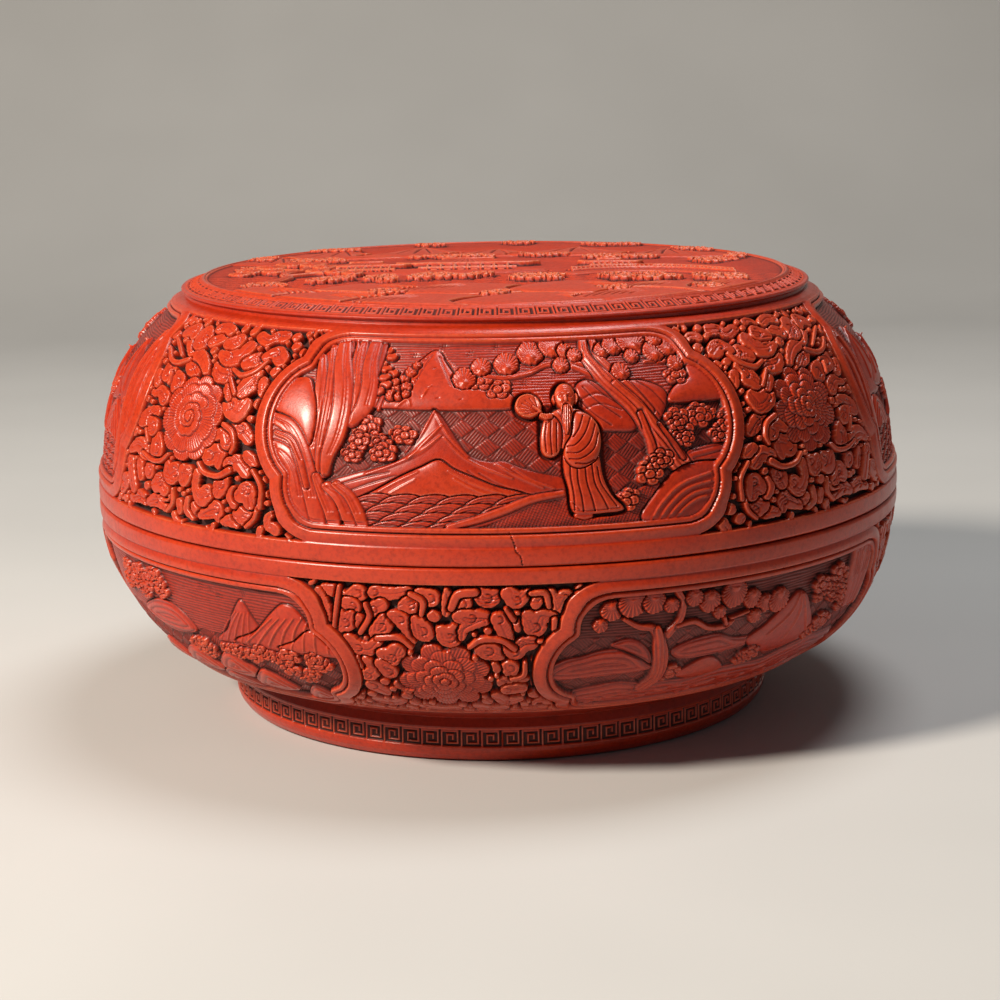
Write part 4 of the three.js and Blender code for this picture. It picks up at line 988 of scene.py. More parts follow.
# Lid, front: cliffs and a boulder, a peaked hill over waves, a pine, hills and flowers round an old man
def frontPicture():
    form = frontPanel
    r = field("lid", floor=-3.4, horizon=62, sky=-1.9)
    for x, y in form["stars"]:
        mark(r, x, y)
    # far hill with blossom along its left shoulder
    r.mass(form["farHill"], top=-1.0, rise=0.8, width=4)
    for path in form["farHillFolds"]:
        r.cut([(x, y, 0.4) for x, y in path], depth=0.5)
    flowers(r, 0.5, 70, 10, 4, 8, -0.7)
    flowers(r, -8, 73.4, 7, 2.6, 9, -0.7)
    for x, y in form["farHillNicks"]:
        r.cut([(x - 0.5, y, 0.35), (x + 0.5, y + 0.3, 0.35)], depth=0.35)
    for x, y, s in form["farHillNeedles"]:
        r.pine(x, y, s, top=-0.6)
    for path in form["farHillBranches"]:
        r.rib(path, height=0.35)
    # left tree
    for x, y in form["leftTreeLeaves"]:
        leaf = [(x - 1.2, y, 1.5), (x + 1, y + 0.6, 1.7)]
        r.leaf(leaf, top=-0.6, comb=0.3, dome=0.6, scallop=0.6, moat=0.5, gap=-3.0)
    r.bead([(-46, 66, 0.9), (-47, 61, 0.9)], top=-1.6, dome=0.4)
    # flower banks
    for cx, cy, w, t, s in form["leftBlossom"]:
        flowers(r, cx, cy, w, t, s)
    # peaked hill
    r.mass(form["peakedHill"], top=-1.5, rise=1.0, width=5)
    for path in form["peakedHillFolds"]:
        r.rib(path, height=0.55)
    for path in form["peakedHillLines"]:
        r.cut(path, depth=0.5)
    r.mass(form["lowerHill"], top=-0.9, rise=0.8, width=4)
    for path in form["lowerHillFolds"]:
        r.rib(path, height=0.4)
    waves(r, -52, 8, 13.0, 21.4, -1.3, 6.0)
    # path and stony bank
    r.mass(form["path"], top=-1.9, rise=0.4, width=2)
    found = r.outline(form["stones"])
    part, gx, gy, dist = found
    inside = smooth(-dist / 0.8)
    r.h[part] = r.h[part] * (1 - inside) + stipple(gx, gy, -2.3) * inside
    r.bead(form["pathEdge"], top=-1.0, dome=0.5)
    # right hills
    r.mass(form["rightHill"], top=-1.5, rise=0.9, width=3)
    r.mass(form["rightHillBehind"], top=-1.3, rise=0.9, width=3)
    for path in form["rightHillFolds"]:
        r.cut([(x, y, 0.5) for x, y in path], depth=0.6)
    r.mass(form["farRocks"], top=-0.9, rise=0.8, width=4)
    for path in form["rightHillLines"]:
        r.cut(path, depth=0.4)
    for cx, cy, w, t, s in form["rightBlossom"]:
        flowers(r, cx, cy, w, t, s)
    r.mass(form["rightRocks"], top=-1.4, rise=0.8, width=3, contour=0.35, pitch=2.8)
    # trunk and branches
    r.bead(form["topBranch"], top=-1.0, dome=0.7, grooves=0.2)
    r.bead(form["upperTwig"], top=-1.1, dome=0.6)
    r.bead(form["rightTwig"], top=-1.1, dome=0.6)
    r.bead(form["sideTrunk"], top=-0.7, dome=0.9, grooves=0.35)
    r.bead(form["trunk"], top=-0.3, dome=1.0, moat=0.5, gap=-2.6, grooves=0.45, pitch=2.0)
    r.bead(form["trunkRidge"], top=0.0, dome=0.7, moat=0.3, gap=-1.6, grooves=0.3, pitch=1.4)
    r.bead(form["lowerTrunk"], top=-0.8, dome=0.7, grooves=0.25)
    r.bead(form["root"], top=-0.9, dome=0.6, grooves=0.2)
    for cx, cy, w, t, s in form["lowerBlossom"]:
        flowers(r, cx, cy, w, t, s, -0.6)
    # pine needles
    for x, y, s in form["needles"]:
        r.pine(x, y, s)
    # the hollow that the old man stands in
    r.mass(oldMan["edge"], top=-4.3, rise=0.1, width=2, moat=0.7, gap=-4.0)
    # rocks at the lower right
    r.mass(form["cornerRocks"], top=-1.1, rise=0.9, width=3)
    for k in range(4):
        lower = [(54 + 3.1 * k, 14.4, .4), (59 + 3.2 * k, 21.6 - 0.8 * k, .7)]
        upper = [(67 + 2.6 * k, 28 - 2 * k, .8), (80 + 0.8 * k, 31.4 - 3.2 * k, .5)]
        r.rib(lower + upper, height=0.6)
    # cliffs on the left
    r.mass(form["innerCliff"], top=-1.5, rise=0.5, width=2)
    folds(r, form["innerCliffFolds"], top=-0.7, dome=0.8)
    r.mass(form["middleCliff"], top=-1.2, rise=0.5, width=2)
    folds(r, form["middleCliffFolds"], top=-0.45, dome=0.9)
    r.mass(form["boulder"], top=-0.3, rise=0.9, width=5)
    r.mass(form["lowerCliff"], top=-1.3, rise=0.5, width=2)
    folds(r, form["lowerCliffFolds"], top=-0.5, dome=0.8)
    return r


# The old man, in the same millimetres as the front panel; edge is the hollow that he stands in. From brow to
# moustache a path is given for one side, measured from the middle of the face, and cut on both
oldMan = {
    "step": 0.2,
    "ground": -5.0,
    "edge": [(23.4, 44), (22.6, 37), (24, 29), (24.6, 22), (26, 18.8), (31, 18.2), (43, 18.8), (45, 21),
             (40.8, 26), (38, 33), (37.6, 42), (37.8, 48), (37, 53.6), (33.4, 58.4), (30, 61.6), (30, 65.4),
             (29.2, 69), (27.2, 71.4), (25.2, 72), (23, 71.3), (21, 69), (20.2, 65.4), (20.6, 62), (18, 59),
             (16, 61.4), (14.6, 66), (11, 67.8), (6.6, 66.4), (5, 62), (7.2, 58.2), (11, 56.6), (14.4, 57),
             (14.4, 50), (14.6, 43.4), (17.6, 41), (20.8, 42.2)],
    "shoe": [(27, 18.6, 1.0), (29.6, 18.2, 1.3), (32, 18.4, 1.0)],
    "robe": [(23.5, 45), (22.8, 37), (24.2, 29), (24.8, 22.5), (26.5, 19.4), (31, 18.9), (37, 19.1),
             (43, 19.4), (44.4, 21), (40.3, 25.8), (37.4, 32.6), (36.4, 40), (35.5, 46), (30, 48)],
    "robeFolds": [
        [(25.6, 42), (25, 35), (26, 27), (26.2, 21)],
        [(28, 41), (27.6, 33), (28.8, 26), (29.4, 20.4)],
        [(30.6, 40), (30.8, 32), (32.6, 25), (33.6, 20.4)],
        [(33, 38.6), (33.8, 31), (36.6, 25), (38.4, 20.8)],
        [(35, 37), (36, 31), (39, 25.8), (41.8, 21.6)],
    ],
    "hem": [(25.2, 21), (30, 20.4), (36, 20.6), (43, 21)],
    "hemFold": [(24, 25.4), (26.4, 23), (28, 21)],
    "chest": [(18.5, 57), (21, 60), (25, 60.8), (30, 60), (34, 57), (36.4, 52), (36, 46), (32, 44),
              (24, 44), (20, 48)],
    "farSleeve": [(16.6, 56.4), (20, 57.6), (22.6, 54), (22.6, 48), (21, 42.8), (17.6, 41.4), (15, 43.6),
                  (14.8, 50)],
    "farSleeveFolds": [
        [(17.2, 55), (16.4, 49.4), (16.6, 43.6)],
        [(19, 56), (18.4, 49.4), (18.6, 42.6)],
        [(21, 54.6), (20.6, 48.6), (20.4, 43.6)],
    ],
    "fan": [(5.6, 62), (7.2, 65.8), (11, 67.2), (14.4, 65.4), (16, 61.6), (14.4, 58.6), (11, 57.2),
            (7.4, 58.6)],
    "fanRim": [(6.2, 62, 0.4), (7.6, 65.2, 0.4), (11, 66.5, 0.4), (14, 64.9, 0.4), (15.3, 61.6, 0.4)],
    "fanHandle": [(17.6, 55.6, 0.55), (15.2, 59.4, 0.55), (12.6, 61.6, 0.4)],
    "hand": [(15.6, 57.8, 1.0), (17.2, 57.2, 1.3), (18.6, 57.4, 1.2)],
    "nearSleeve": [(28, 58.4), (32.6, 58), (36.4, 53.6), (37.2, 47), (35.8, 41.6), (33, 38.6), (29, 37),
                   (25.4, 38), (23.3, 41.6), (23.8, 46), (26.2, 50)],
    "nearSleeveFolds": [
        [(36.2, 50), (34, 44), (29, 40.6), (24.8, 40.6)],
        [(35.4, 53.4), (32.6, 46.6), (28.4, 43), (24.2, 43)],
        [(33.8, 56), (31, 50), (27.4, 46), (24.4, 45.4)],
        [(31, 57), (29, 52), (26.8, 49)],
        [(34, 40), (31, 38.6), (27, 38.9)],
    ],
    "collarLeft": [(21.2, 59.8), (23.6, 56), (25.2, 51.8)],
    "collarRight": [(29.2, 60), (27.2, 56), (25.6, 52.6)],
    "nearEar": [(29.5, 67.6, 0.8), (29.9, 66, 0.95), (29.4, 64.4, 0.8)],
    "farEar": [(20.6, 67.4, 0.7), (20.3, 66, 0.8), (20.7, 64.6, 0.7)],
    "head": [(20.9, 66), (21.2, 69.6), (23, 72.2), (25.2, 72.9), (27.6, 72), (29.2, 69.4), (29.3, 66),
             (28.6, 63.2), (27, 61), (25.1, 60.3), (23.2, 61), (21.6, 63.4)],
    "brow": [(0.9, 67.3, 0.35), (1.9, 67.75, 0.42), (3.0, 67.2, 0.35)],
    "socket": [(1.2, 66.35, 0.6), (2.4, 66.35, 0.65)],
    "eyelid": [(1.3, 66.2, 0.3), (1.9, 66.3, 0.42), (2.5, 66.2, 0.3)],
    "eye": [(1.15, 66.15, 0.2), (1.85, 66.0, 0.22), (2.65, 66.2, 0.2)],
    "cheek": [(2.0, 64.6, 1.0), (2.3, 64.2, 0.8)],
    "cheekFold": [(0.75, 64.5, 0.2), (1.3, 63.6, 0.22), (1.5, 62.8, 0.2)],
    "moustache": [(0.4, 63.3, 0.35), (1.4, 62.7, 0.4), (2.1, 61.2, 0.3), (2.2, 59.4, 0.2)],
    "nose": [(25.15, 66.8, 0.4), (25.15, 65.4, 0.5), (25.15, 64.5, 0.78)],
    "underNose": [(24.5, 64.0, 0.2), (25.15, 63.8, 0.22), (25.8, 64.0, 0.2)],
    "beard": [(25.15, 61.6, 1.5), (25.1, 58, 1.9), (24.7, 54, 1.4), (24.3, 50.4, 0.4)],
    "mouth": [(24.35, 62.85, 0.24), (25.15, 62.7, 0.28), (25.95, 62.85, 0.24)],
}


# An old man in a wide-sleeved robe with a leaf fan, on a finer grid. His face is a plain calm one
def oldManFigure():
    form = oldMan
    r = Relief(3, 48, 16, 75, oldMan["ground"], oldMan["step"])

    def folded(path, depth=0.7, wide=0.42):
        r.cut([(x, y, wide) for x, y in path], depth=depth)

    # the head is drawn a little too large and too high, and is brought to its size here
    def head(path):
        middle, foot, size = 25.15, 60.3, 0.92
        return [(middle + size * (x - middle), foot - 0.9 + size * (y - foot), *(0.94 * w for w in wide))
                for x, y, *wide in path]

    r.bead(form["shoe"], top=-1.6, dome=0.6, moat=0)
    r.mass(form["robe"], top=-0.7, rise=1.0, width=3.2, moat=0)
    for path in form["robeFolds"]:
        folded(path)
    folded(form["hem"], depth=0.35, wide=0.3)
    folded(form["hemFold"], depth=0.4, wide=0.3)
    r.mass(form["chest"], top=-0.4, rise=1.0, width=3, moat=0)
    # far sleeve with the fan
    r.mass(form["farSleeve"], top=-0.3, rise=1.0, width=2.4, moat=0.3, gap=-2.0)
    for path in form["farSleeveFolds"]:
        folded(path, depth=0.6, wide=0.36)
    r.mass(form["fan"], top=-0.6, rise=0.5, width=1.6, moat=0)
    r.rib(form["fanRim"], height=0.3)
    for k in range(7):
        a = 1.75 + 0.27 * k
        vein = [(14.6 + run * math.cos(a), 59.6 + rise * math.sin(a))
                for run, rise in ((0, 0), (4, 3.4), (7.4, 6))]
        folded(vein, depth=0.4, wide=0.3)
    r.bead(form["fanHandle"], top=0.1, dome=0.2, moat=0.2, gap=-1.4)
    r.bead(form["hand"], top=0.2, dome=0.5, moat=0.25, gap=-1.6)
    for k in range(3):
        folded([(15.4 + 0.75 * k, 57.9), (16 + 0.75 * k, 56.9)], depth=0.3, wide=0.2)
    # near sleeve, hanging in front
    r.mass(form["nearSleeve"], top=0.35, rise=1.2, width=3.2, moat=0.35, gap=-2.2)
    for path in form["nearSleeveFolds"]:
        folded(path, depth=0.65, wide=0.4)
    # collar and head
    folded(form["collarLeft"], depth=0.45, wide=0.3)
    folded(form["collarRight"], depth=0.45, wide=0.3)
    r.bead(head(form["nearEar"]), top=-0.5, dome=0.5, moat=0.2, gap=-2.4)
    r.bead(head(form["farEar"]), top=-0.9, dome=0.5, moat=0.2, gap=-2.4)
    r.mass(head(form["head"]), top=0.9, rise=1.9, width=3.4, moat=0.3, gap=-1.8)
    for side in (-1, 1):

        def at(path):
            return head([(25.15 + side * dx, y, w) for dx, y, w in path])

        r.rib(at(form["brow"]), height=0.22)
        r.cut(at(form["socket"]), depth=0.28)
        r.rib(at(form["eyelid"]), height=0.2)
        r.cut(at(form["eye"]), depth=0.32)
        r.rib(at(form["cheek"]), height=0.16)
        r.cut(at(form["cheekFold"]), depth=0.18)
        r.bead(at(form["moustache"]), top=0.55, dome=0.15, moat=0)
    r.rib(head(form["nose"]), height=0.5)
    r.cut(head(form["underNose"]), depth=0.3)
    r.bead(head(form["beard"]), top=0.75, dome=0.6, moat=0.2, gap=-1.0, grooves=0.3, pitch=0.62)
    r.cut(head(form["mouth"]), depth=0.42)
    for y in (69.2, 70.2):
        r.cut(head([(23.4, y, 0.2), (25.15, y + 0.25, 0.2), (26.9, y, 0.2)]), depth=0.14)
    # painted shade in the cuts and a painted sheen on the edges, with grime and wear
    tone = toneOf(r.h, r.step, wrap=False)
    gx, gy = np.meshgrid(r.x, r.y)
    turn = math.radians(halves["lid"]["turn"]) + gx / arcRadius
    radius, height, nr, nz = walls["lid"].at(0.3 + gy * (1 - 0.3 / walls["lid"].length))
    radius, height = radius + nr * r.h, height + nz * r.h
    faces = gridFaces(*r.h.shape)
    standing = (r.h.reshape(-1)[faces] > oldMan["ground"] + 0.1).any(1)
    partMesh("lid_old_man", aroundAxis(turn, radius, height), faces[standing], tone)


# Panels away from the front. Peaks are (x, half width, height); x is in mm and heights are shares of the
# picture's own height, from its foot. A mound is in half widths and shares, a branch in (x, share, radius)
hills = {
    "peaks": [(-48, 30, 0.86), (-18, 34, 0.74), (22, 30, 0.8)],
    "mound": [(-1, -0.16), (-0.6, 0.04), (-0.1, 0.16), (0.5, 0.08), (1, -0.12), (0, -0.2)],
    "trunk": [(14, 0.16, 3.0), (8, 0.4, 2.4), (2, 0.62, 2.0), (6, 0.82, 1.6), (0, 0.96, 1.2)],
    "leftBranch": [(4, 0.66, 1.5), (-12, 0.76, 1.1), (-28, 0.74, 0.8)],
    "rightBranch": [(5, 0.7, 1.3), (20, 0.78, 1.0), (34, 0.76, 0.8)],
    "cliff": [(-96, 0.98), (-70, 1.02), (-66, 0.7), (-70, 0.4), (-66, 0.1), (-74, -0.06), (-98, 0.1)],
}


# Peaks, mounds, a tree, blossom and a cliff, placed by a seed
def hillsPicture(half, seed, mirror):
    rng = np.random.default_rng(seed)
    lid = half == "lid"
    tall, rimEdge = walls[half].length, halves[half]["rim"] + 8
    low, high = (rimEdge, tall - 8) if lid else (tall - 8, rimEdge)
    span = high - low

    def put(x, share, *radius):
        return (-x if mirror else x, low + share * span, *radius)

    r = field(half, floor=-3.4, horizon=low + 0.62 * span, sky=-2.8)
    for k in range(6):
        mark(r, *put(-60 + 24 * k + rng.uniform(-6, 6), rng.uniform(0.8, 0.95)))
    for k, (cx, wide, peak) in enumerate(hills["peaks"]):
        crest = [(-0.2, peak - 0.1), (0, peak), (0.22, peak - 0.12)]
        outline = [(-1, 0.46), (-0.55, 0.6)] + crest + [(0.5, 0.6), (1, 0.5), (0, 0.4)]
        r.mass([put(cx + wide * x, share) for x, share in outline], top=-1.5 + 0.15 * k, rise=0.9, width=4)
        for j in range(4):
            middle = put(cx + wide * (-0.4 + 0.26 * j), 0.5 * (peak + 0.5), 1.0)
            end = put(cx + wide * (-0.7 + 0.42 * j), 0.5, 0.6)
            r.rib([put(cx, peak - 0.03, 0.5), middle, end], height=0.5)
    for k in range(5):
        x, share = -66 + 30 * k + rng.uniform(-6, 6), rng.uniform(0.34, 0.5)
        flowers(r, *put(x, share), rng.uniform(9, 14), 6, seed * 10 + k)
    for k in range(4):
        cx, foot = -55 + 36 * k + rng.uniform(-5, 5), rng.uniform(0.2, 0.3)
        wide = rng.uniform(16, 22)
        mound = [put(cx + wide * x, foot + share) for x, share in hills["mound"]]
        r.mass(mound, top=-1.0, rise=0.9, width=3, contour=0.5, pitch=2.8)
    shallow, deep = sorted((low - 2 * halves[half]["outwards"], low + 0.12 * span))
    waves(r, -70, 70, shallow, deep, -1.4, 6.0)
    tree = rng.uniform(30, 40)
    trunk, left, right = ([put(tree + x, *rest) for x, *rest in hills[part]]
                          for part in ("trunk", "leftBranch", "rightBranch"))
    r.bead(trunk, top=-0.5, dome=1.0, grooves=0.35, pitch=1.8)
    r.bead(left, top=-0.8, dome=0.7)
    r.bead(right, top=-0.8, dome=0.7)
    for k in range(11):
        r.pine(*put(tree - 34 + 7.2 * k, 0.84 + 0.07 * math.sin(k * 2.1 + seed)), rng.uniform(3.0, 4.6))
    r.mass([put(x, share) for x, share in hills["cliff"]], top=-1.2, rise=0.6, width=2)
    strips = [[put(-92 + 7.5 * k, 0.98, 1.6), put(-88 + 6.6 * k, 0.7, 2.8), put(-86 + 5 * k, 0.4, 3.0),
               put(-84 + 5 * k, 0.05, 2.4)] for k in range(4)]
    folds(r, strips, top=-0.4, dome=1.0)
    return r


# Base panel to the right of the front, as the front panel, but y runs down from the seam
rightPanel = {
    "cloudRocks": [(-89.7, 46), (-83.7, 42), (-76.7, 40.4), (-67.7, 38), (-57.7, 40), (-50.7, 46),
                   (-47.7, 51), (-67.7, 52.4), (-89.7, 52.6)],
    "cloudRockCrest": [(-65.7, 36), (-59.7, 33.6), (-53.7, 36), (-48.7, 42), (-47.7, 48), (-52.7, 44),
                       (-59.7, 39.6)],
    "middleRocks": [(-39.7, 42), (-31.7, 38), (-19.7, 37), (-10.7, 40.6), (2.3, 42), (-3.7, 46),
                    (-23.7, 48), (-35.7, 47)],
    "ridge": [(-3.7, 44), (4.3, 37), (12.3, 30), (19.3, 24.6), (25.3, 27), (30.3, 34), (36.3, 42),
              (42.3, 50), (12.3, 54)],
    "ridgeFolds": [
        [(20.3, 25.4, .5), (16.3, 34, 1.0), (6.3, 42, .7)],
        [(21.3, 26, .5), (22.3, 36, 1.1), (18.3, 48, .7)],
        [(22.3, 26, .5), (28.3, 38, 1.0), (34.3, 48, .6)],
    ],
    "nearRock": [(-33.7, 58), (-27.7, 51), (-20.7, 48.6), (-13.7, 53), (-9.7, 60), (-21.7, 62)],
    "shore": [(-87.7, 70), (-77.7, 62), (-61.7, 58), (-45.7, 61), (-27.7, 62), (-7.7, 58), (12.3, 60),
              (42.3, 54), (77.3, 60), (62.3, 76), (-47.7, 78)],
    "blossom": [(42.3, 27, 22, 14, 31), (-39.7, 55, 12, 6, 32), (-1.7, 52, 14, 6, 33),
                (42.3, 46, 14, 8, 34), (57.3, 36, 10, 10, 35)],
    "leftBranch": [(-61.7, 24, .9), (-55.7, 28, 1.3), (-49.7, 29.6, 1.7), (-45.7, 36, 2.4)],
    "rightTrunk": [(-41.7, 13, 1.3), (-38.7, 19, 1.6), (-38.7, 26, 1.7), (-43.1, 33, 1.9)],
    "mainTrunk": [(-47.7, 30, 1.6), (-45.7, 38, 2.9), (-43.7, 46, 3.6), (-43.7, 56, 3.4), (-47.7, 63, 3.0)],
    "longBranch": [(-39.7, 29.6, 1.0), (-32.7, 28.6, 1.2), (-25.7, 32.6, 1.2), (-17.7, 33, 1.1),
                   (-13.7, 29.6, .8)],
    "upperTwig": [(-17.7, 32, 1.0), (-19.7, 27, .8)],
    "endTwig": [(-15.7, 29.6, .8), (-7.7, 28, .7)],
    "needles": [(-66.7, 20, 3.5), (-58.7, 17.6, 4.6), (-50.1, 18, 3.8), (-70.7, 26, 2.4), (-43.1, 20, 2.6),
                (-26.7, 20.6, 3.8), (-15.7, 19, 4.8), (-6.7, 22.6, 3.4), (0.3, 26, 3.4), (7.9, 26, 4.4),
                (-33.7, 18, 3.0), (-21.7, 26, 2.4), (-3.7, 31, 2.6)],
}


# Base, right of the front: a twin pine over cloud-shaped rocks and hills. y runs down from the seam
def baseRightPicture():
    form = rightPanel
    r = field("base", floor=-3.5, horizon=33, sky=-3.2)
    r.mass(form["cloudRocks"], top=-1.2, rise=0.9, width=3, contour=0.45, pitch=2.6)
    r.mass(form["cloudRockCrest"], top=-1.7, rise=0.7, width=2, contour=0.4, pitch=2.4)
    r.mass(form["middleRocks"], top=-1.4, rise=0.9, width=3, contour=0.4, pitch=2.6)
    r.mass(form["ridge"], top=-1.2, rise=0.9, width=4)
    for path in form["ridgeFolds"]:
        r.rib(path, height=0.55)
    r.mass(form["nearRock"], top=-1.0, rise=0.9, width=4)
    r.mass(form["shore"], top=-1.4, rise=0.8, width=4, contour=0.5, pitch=3.4)
    for k in range(5):
        r.rib([(-73.7 + 24 * k, 76, .5), (-63.7 + 24 * k, 69, .9), (-51.7 + 24 * k, 65, .6)], height=0.5)
    for cx, cy, w, t, s in form["blossom"]:
        flowers(r, cx, cy, w, t, s, -0.7)
    cliff = [[(58.3 + 4.6 * k, 13, 1.6), (58.3 + 4.4 * k, 26, 2.1), (62.3 + 3 * k, 40, 2.0)]
             for k in range(4)]
    folds(r, cliff, top=-0.8, dome=0.9)
    # trunks
    r.bead(form["leftBranch"], top=-0.9, dome=0.8, grooves=0.25)
    r.bead(form["rightTrunk"], top=-0.8, dome=0.8, grooves=0.25)
    r.bead(form["mainTrunk"], top=-0.5, dome=1.1, grooves=0.4, pitch=1.8)
    r.bead(form["longBranch"], top=-0.9, dome=0.6)
    r.bead(form["upperTwig"], top=-1.0, dome=0.5)
    r.bead(form["endTwig"], top=-1.0, dome=0.5)
    for x, y, s in form["needles"]:
        r.pine(x, y, s, top=-0.8)
    return r


# Base panel to the left of the front; a rounded rock is (x, y, half its width), its outline half widths and mm
leftPanel = {
    "stars": [(25.5, 18), (31.5, 18.6), (35.5, 21), (48.5, 17.6)],
    "leftPeak": [(27.5, 44), (35.5, 36), (43.5, 24), (47.5, 21), (52.5, 30), (59.5, 42)],
    "mainPeak": [(39.5, 42), (51.5, 34), (61.5, 24), (67.5, 19.6), (73.5, 22), (79.5, 32), (85.5, 42)],
    "nearPeak": [(61.5, 41), (69.5, 36), (77.5, 30), (83.5, 36), (87.5, 42)],
    "farHill": [(-28.5, 40), (-18.5, 34), (-4.5, 30), (7.5, 33), (13.5, 42), (-8.5, 46)],
    "blossom": [(-28.5, 24, 26, 12, 41), (-6.5, 22, 18, 10, 42), (55.5, 46, 24, 7, 43),
                (79.5, 46, 12, 8, 44), (11.5, 50, 24, 7, 45), (33.5, 47, 12, 6, 46), (66.5, 54, 16, 6, 47)],
    "roundedRocks": [(29.5, 54, 13), (1.5, 58, 16), (45.5, 62, 12), (69.5, 68, 9), (81.5, 70, 8),
                     (-24.5, 60, 14), (19.5, 68, 14)],
    "rock": [(-1, 8), (-0.6, 0), (0, -5), (0.6, 0), (1, 8), (0, 12)],
}


# Base, left of the front: ridged mountains, blossom and rounded rocks
def baseLeftPicture():
    form = leftPanel
    r = field("base", floor=-3.3, horizon=40, sky=-2.4)
    for x, y in form["stars"]:
        mark(r, x, y)
    r.mass(form["leftPeak"], top=-1.6, rise=0.8, width=3)
    r.mass(form["mainPeak"], top=-1.2, rise=0.8, width=3)
    r.mass(form["nearPeak"], top=-0.8, rise=0.7, width=3)
    for k in range(8):
        middle, end = (53.5 + 4.4 * k, 33 - 0.6 * k, .7), (61.5 + 3.4 * k, 26 - 0.4 * k, .4)
        r.rib([(45.5 + 5.5 * k, 40, .4), middle, end], height=0.6)
    for k in range(5):
        r.rib([(29.5 + 4 * k, 42, .4), (35.5 + 3.2 * k, 34, .6), (43.5 + 1.6 * k, 26, .4)], height=0.5)
    r.mass(form["farHill"], top=-1.2, rise=0.8, width=4, contour=0.35, pitch=3)
    for cx, cy, w, t, s in form["blossom"]:
        flowers(r, cx, cy, w, t, s, -0.6)
    for cx, cy, w in form["roundedRocks"]:
        rock = [(cx + w * x, cy + y) for x, y in form["rock"]]
        r.mass(rock, top=-0.7, rise=0.9, width=4, contour=0.35, pitch=3.2)
    return r


# carving a half
# Mean of the heights over a square of about this many points
def blurred(h, wide, wrap):
    n = max(1, int(wide / 2))
    for axis in (0, 1):
        mode = "wrap" if axis == 1 and wrap else "edge"
        pad = [(0, 0), (0, 0)]
        pad[axis] = (n + 1, n)
        total = np.cumsum(np.pad(h, pad, mode), axis)
        size = h.shape[axis]
        ends = np.take(total, np.arange(2 * n + 1, size + 2 * n + 1), axis)
        h = (ends - np.take(total, np.arange(size), axis)) / (2 * n + 1)
    return h


# Grime and painted shade in the cuts, bright lacquer from wear and a painted sheen on the edges: 0 dark, 0.6
# plain, 1 brightest
def toneOf(h, step, wrap=True, deep=-4.2, cavityStrength=1.0, start=0.9):
    near = h - blurred(blurred(h, 1.3 / step, wrap), 1.3 / step, wrap)
    far = h - blurred(blurred(h, 5 / step, wrap), 5 / step, wrap)
    # painted shade with grime: the deeper below the surface, the darker; the cavity term darkens hollows with
    # painted shade and brightens edges with wear and a painted sheen
    depth = np.clip((h + start) / deep, 0, 1)
    rubAndPaintedLight = 0.34 * np.clip(near, -1.1, 0.4) + 0.1 * np.clip(far, -2, 0.5)
    return np.clip(0.63 - 0.38 * depth ** 0.9 + cavityStrength * rubAndPaintedLight, 0.02, 1)


sectorCount = 12
sectorColumns = round(2 * math.pi * arcRadius / sectorCount / grain)
allColumns = sectorColumns * sectorCount
columnArc = 2 * math.pi * arcRadius / allColumns


# Copies a local relief into the ring at an angle in degrees; both have their own steps
def paste(full, y, local, angle, mask=None):
    middle = math.radians(angle) * arcRadius
    first = math.ceil((middle + local.x[0]) / columnArc)
    last = math.floor((middle + local.x[-1]) / columnArc)
    columns = np.arange(first, last + 1)
    xs = columns * columnArc - middle
    at = (xs - local.x[0]) / (local.x[1] - local.x[0])
    i = np.clip(at.astype(int), 0, len(local.x) - 2)
    f = at - i
    source = local.h[:, i] * (1 - f) + local.h[:, i + 1] * f
    columns = columns % allColumns
    if mask is None:
        full[:, columns] = source
    else:
        share = mask(xs, y)
        full[:, columns] = full[:, columns] * (1 - share) + source * share


# The drop of a rounded edge: full at the edge itself, none once further from it than the width
def quarterDrop(distance, width, drop):
    return drop * (1 - np.sqrt(1 - (1 - np.clip(distance / width, 0, 1)) ** 2))


def carveHalf(half, pictures, fields):
    wall, rim, firstTurn = walls[half], halves[half]["rim"], halves[half]["turn"]
    wide, narrow = halves[half]["halfAngles"]
    rows = round(wall.length / grain)
    y = np.linspace(0, wall.length, rows + 1)
    full = np.full((rows + 1, allColumns), spandrels["ground"])
    for k, leaves in enumerate(fields):
        paste(full, y, leaves, firstTurn + 45 + 90 * k + (wide - narrow) / 2 * (-1) ** k)
    for k, picture in enumerate(pictures):
        line = frameOutline(narrow if k % 2 else wide, rim, wall.length)
        gx, gy = np.meshgrid(picture.x, picture.y)
        away = ringDistance(line, gx, gy) - frameShift(gy, rim, wall.length)
        inner = -cartouche["half"]
        # the picture's forms end at the frame's inner edge and stay low beside it
        picture.h = np.where(away < inner, picture.h, frameHeight(away))
        picture.h = np.where((away > inner - 1.1) & (away <= inner), np.minimum(picture.h, -1.0), picture.h)

        def inFrame(xs, ys, line=line):
            room = cartouche["half"] + 1.5 + frameShift(ys, rim, wall.length)[:, None]
            return smooth((room - ringDistance(line, *np.meshgrid(xs, ys))) / 0.5)

        paste(full, y, picture, firstTurn + 90 * k, inFrame)
    # the plain rim band at the seam swells slightly between rounded edges
    band = 0.18 * np.sin(np.pi * np.clip(y / rim, 0, 1)) - quarterDrop(y, width=1.4, drop=1.3)
    band = band - quarterDrop(rim - y, width=0.7, drop=0.7)
    share = smooth((rim + 0.25 - y) / 0.5)[:, None]
    full = full * (1 - share) + band[:, None] * share
    share = smooth((y - (wall.length - 2.2)) / 0.6)[:, None]
    full = full * (1 - share)
    # a band that is finished by hand is never quite even
    arc = np.arange(allColumns) * columnArc
    wander = 0.06 * np.sin(arc / 23) + 0.05 * np.sin(arc / 7.1 + 1)
    full = full + wander * smooth(rim - y)[:, None]
    return wall, y, full


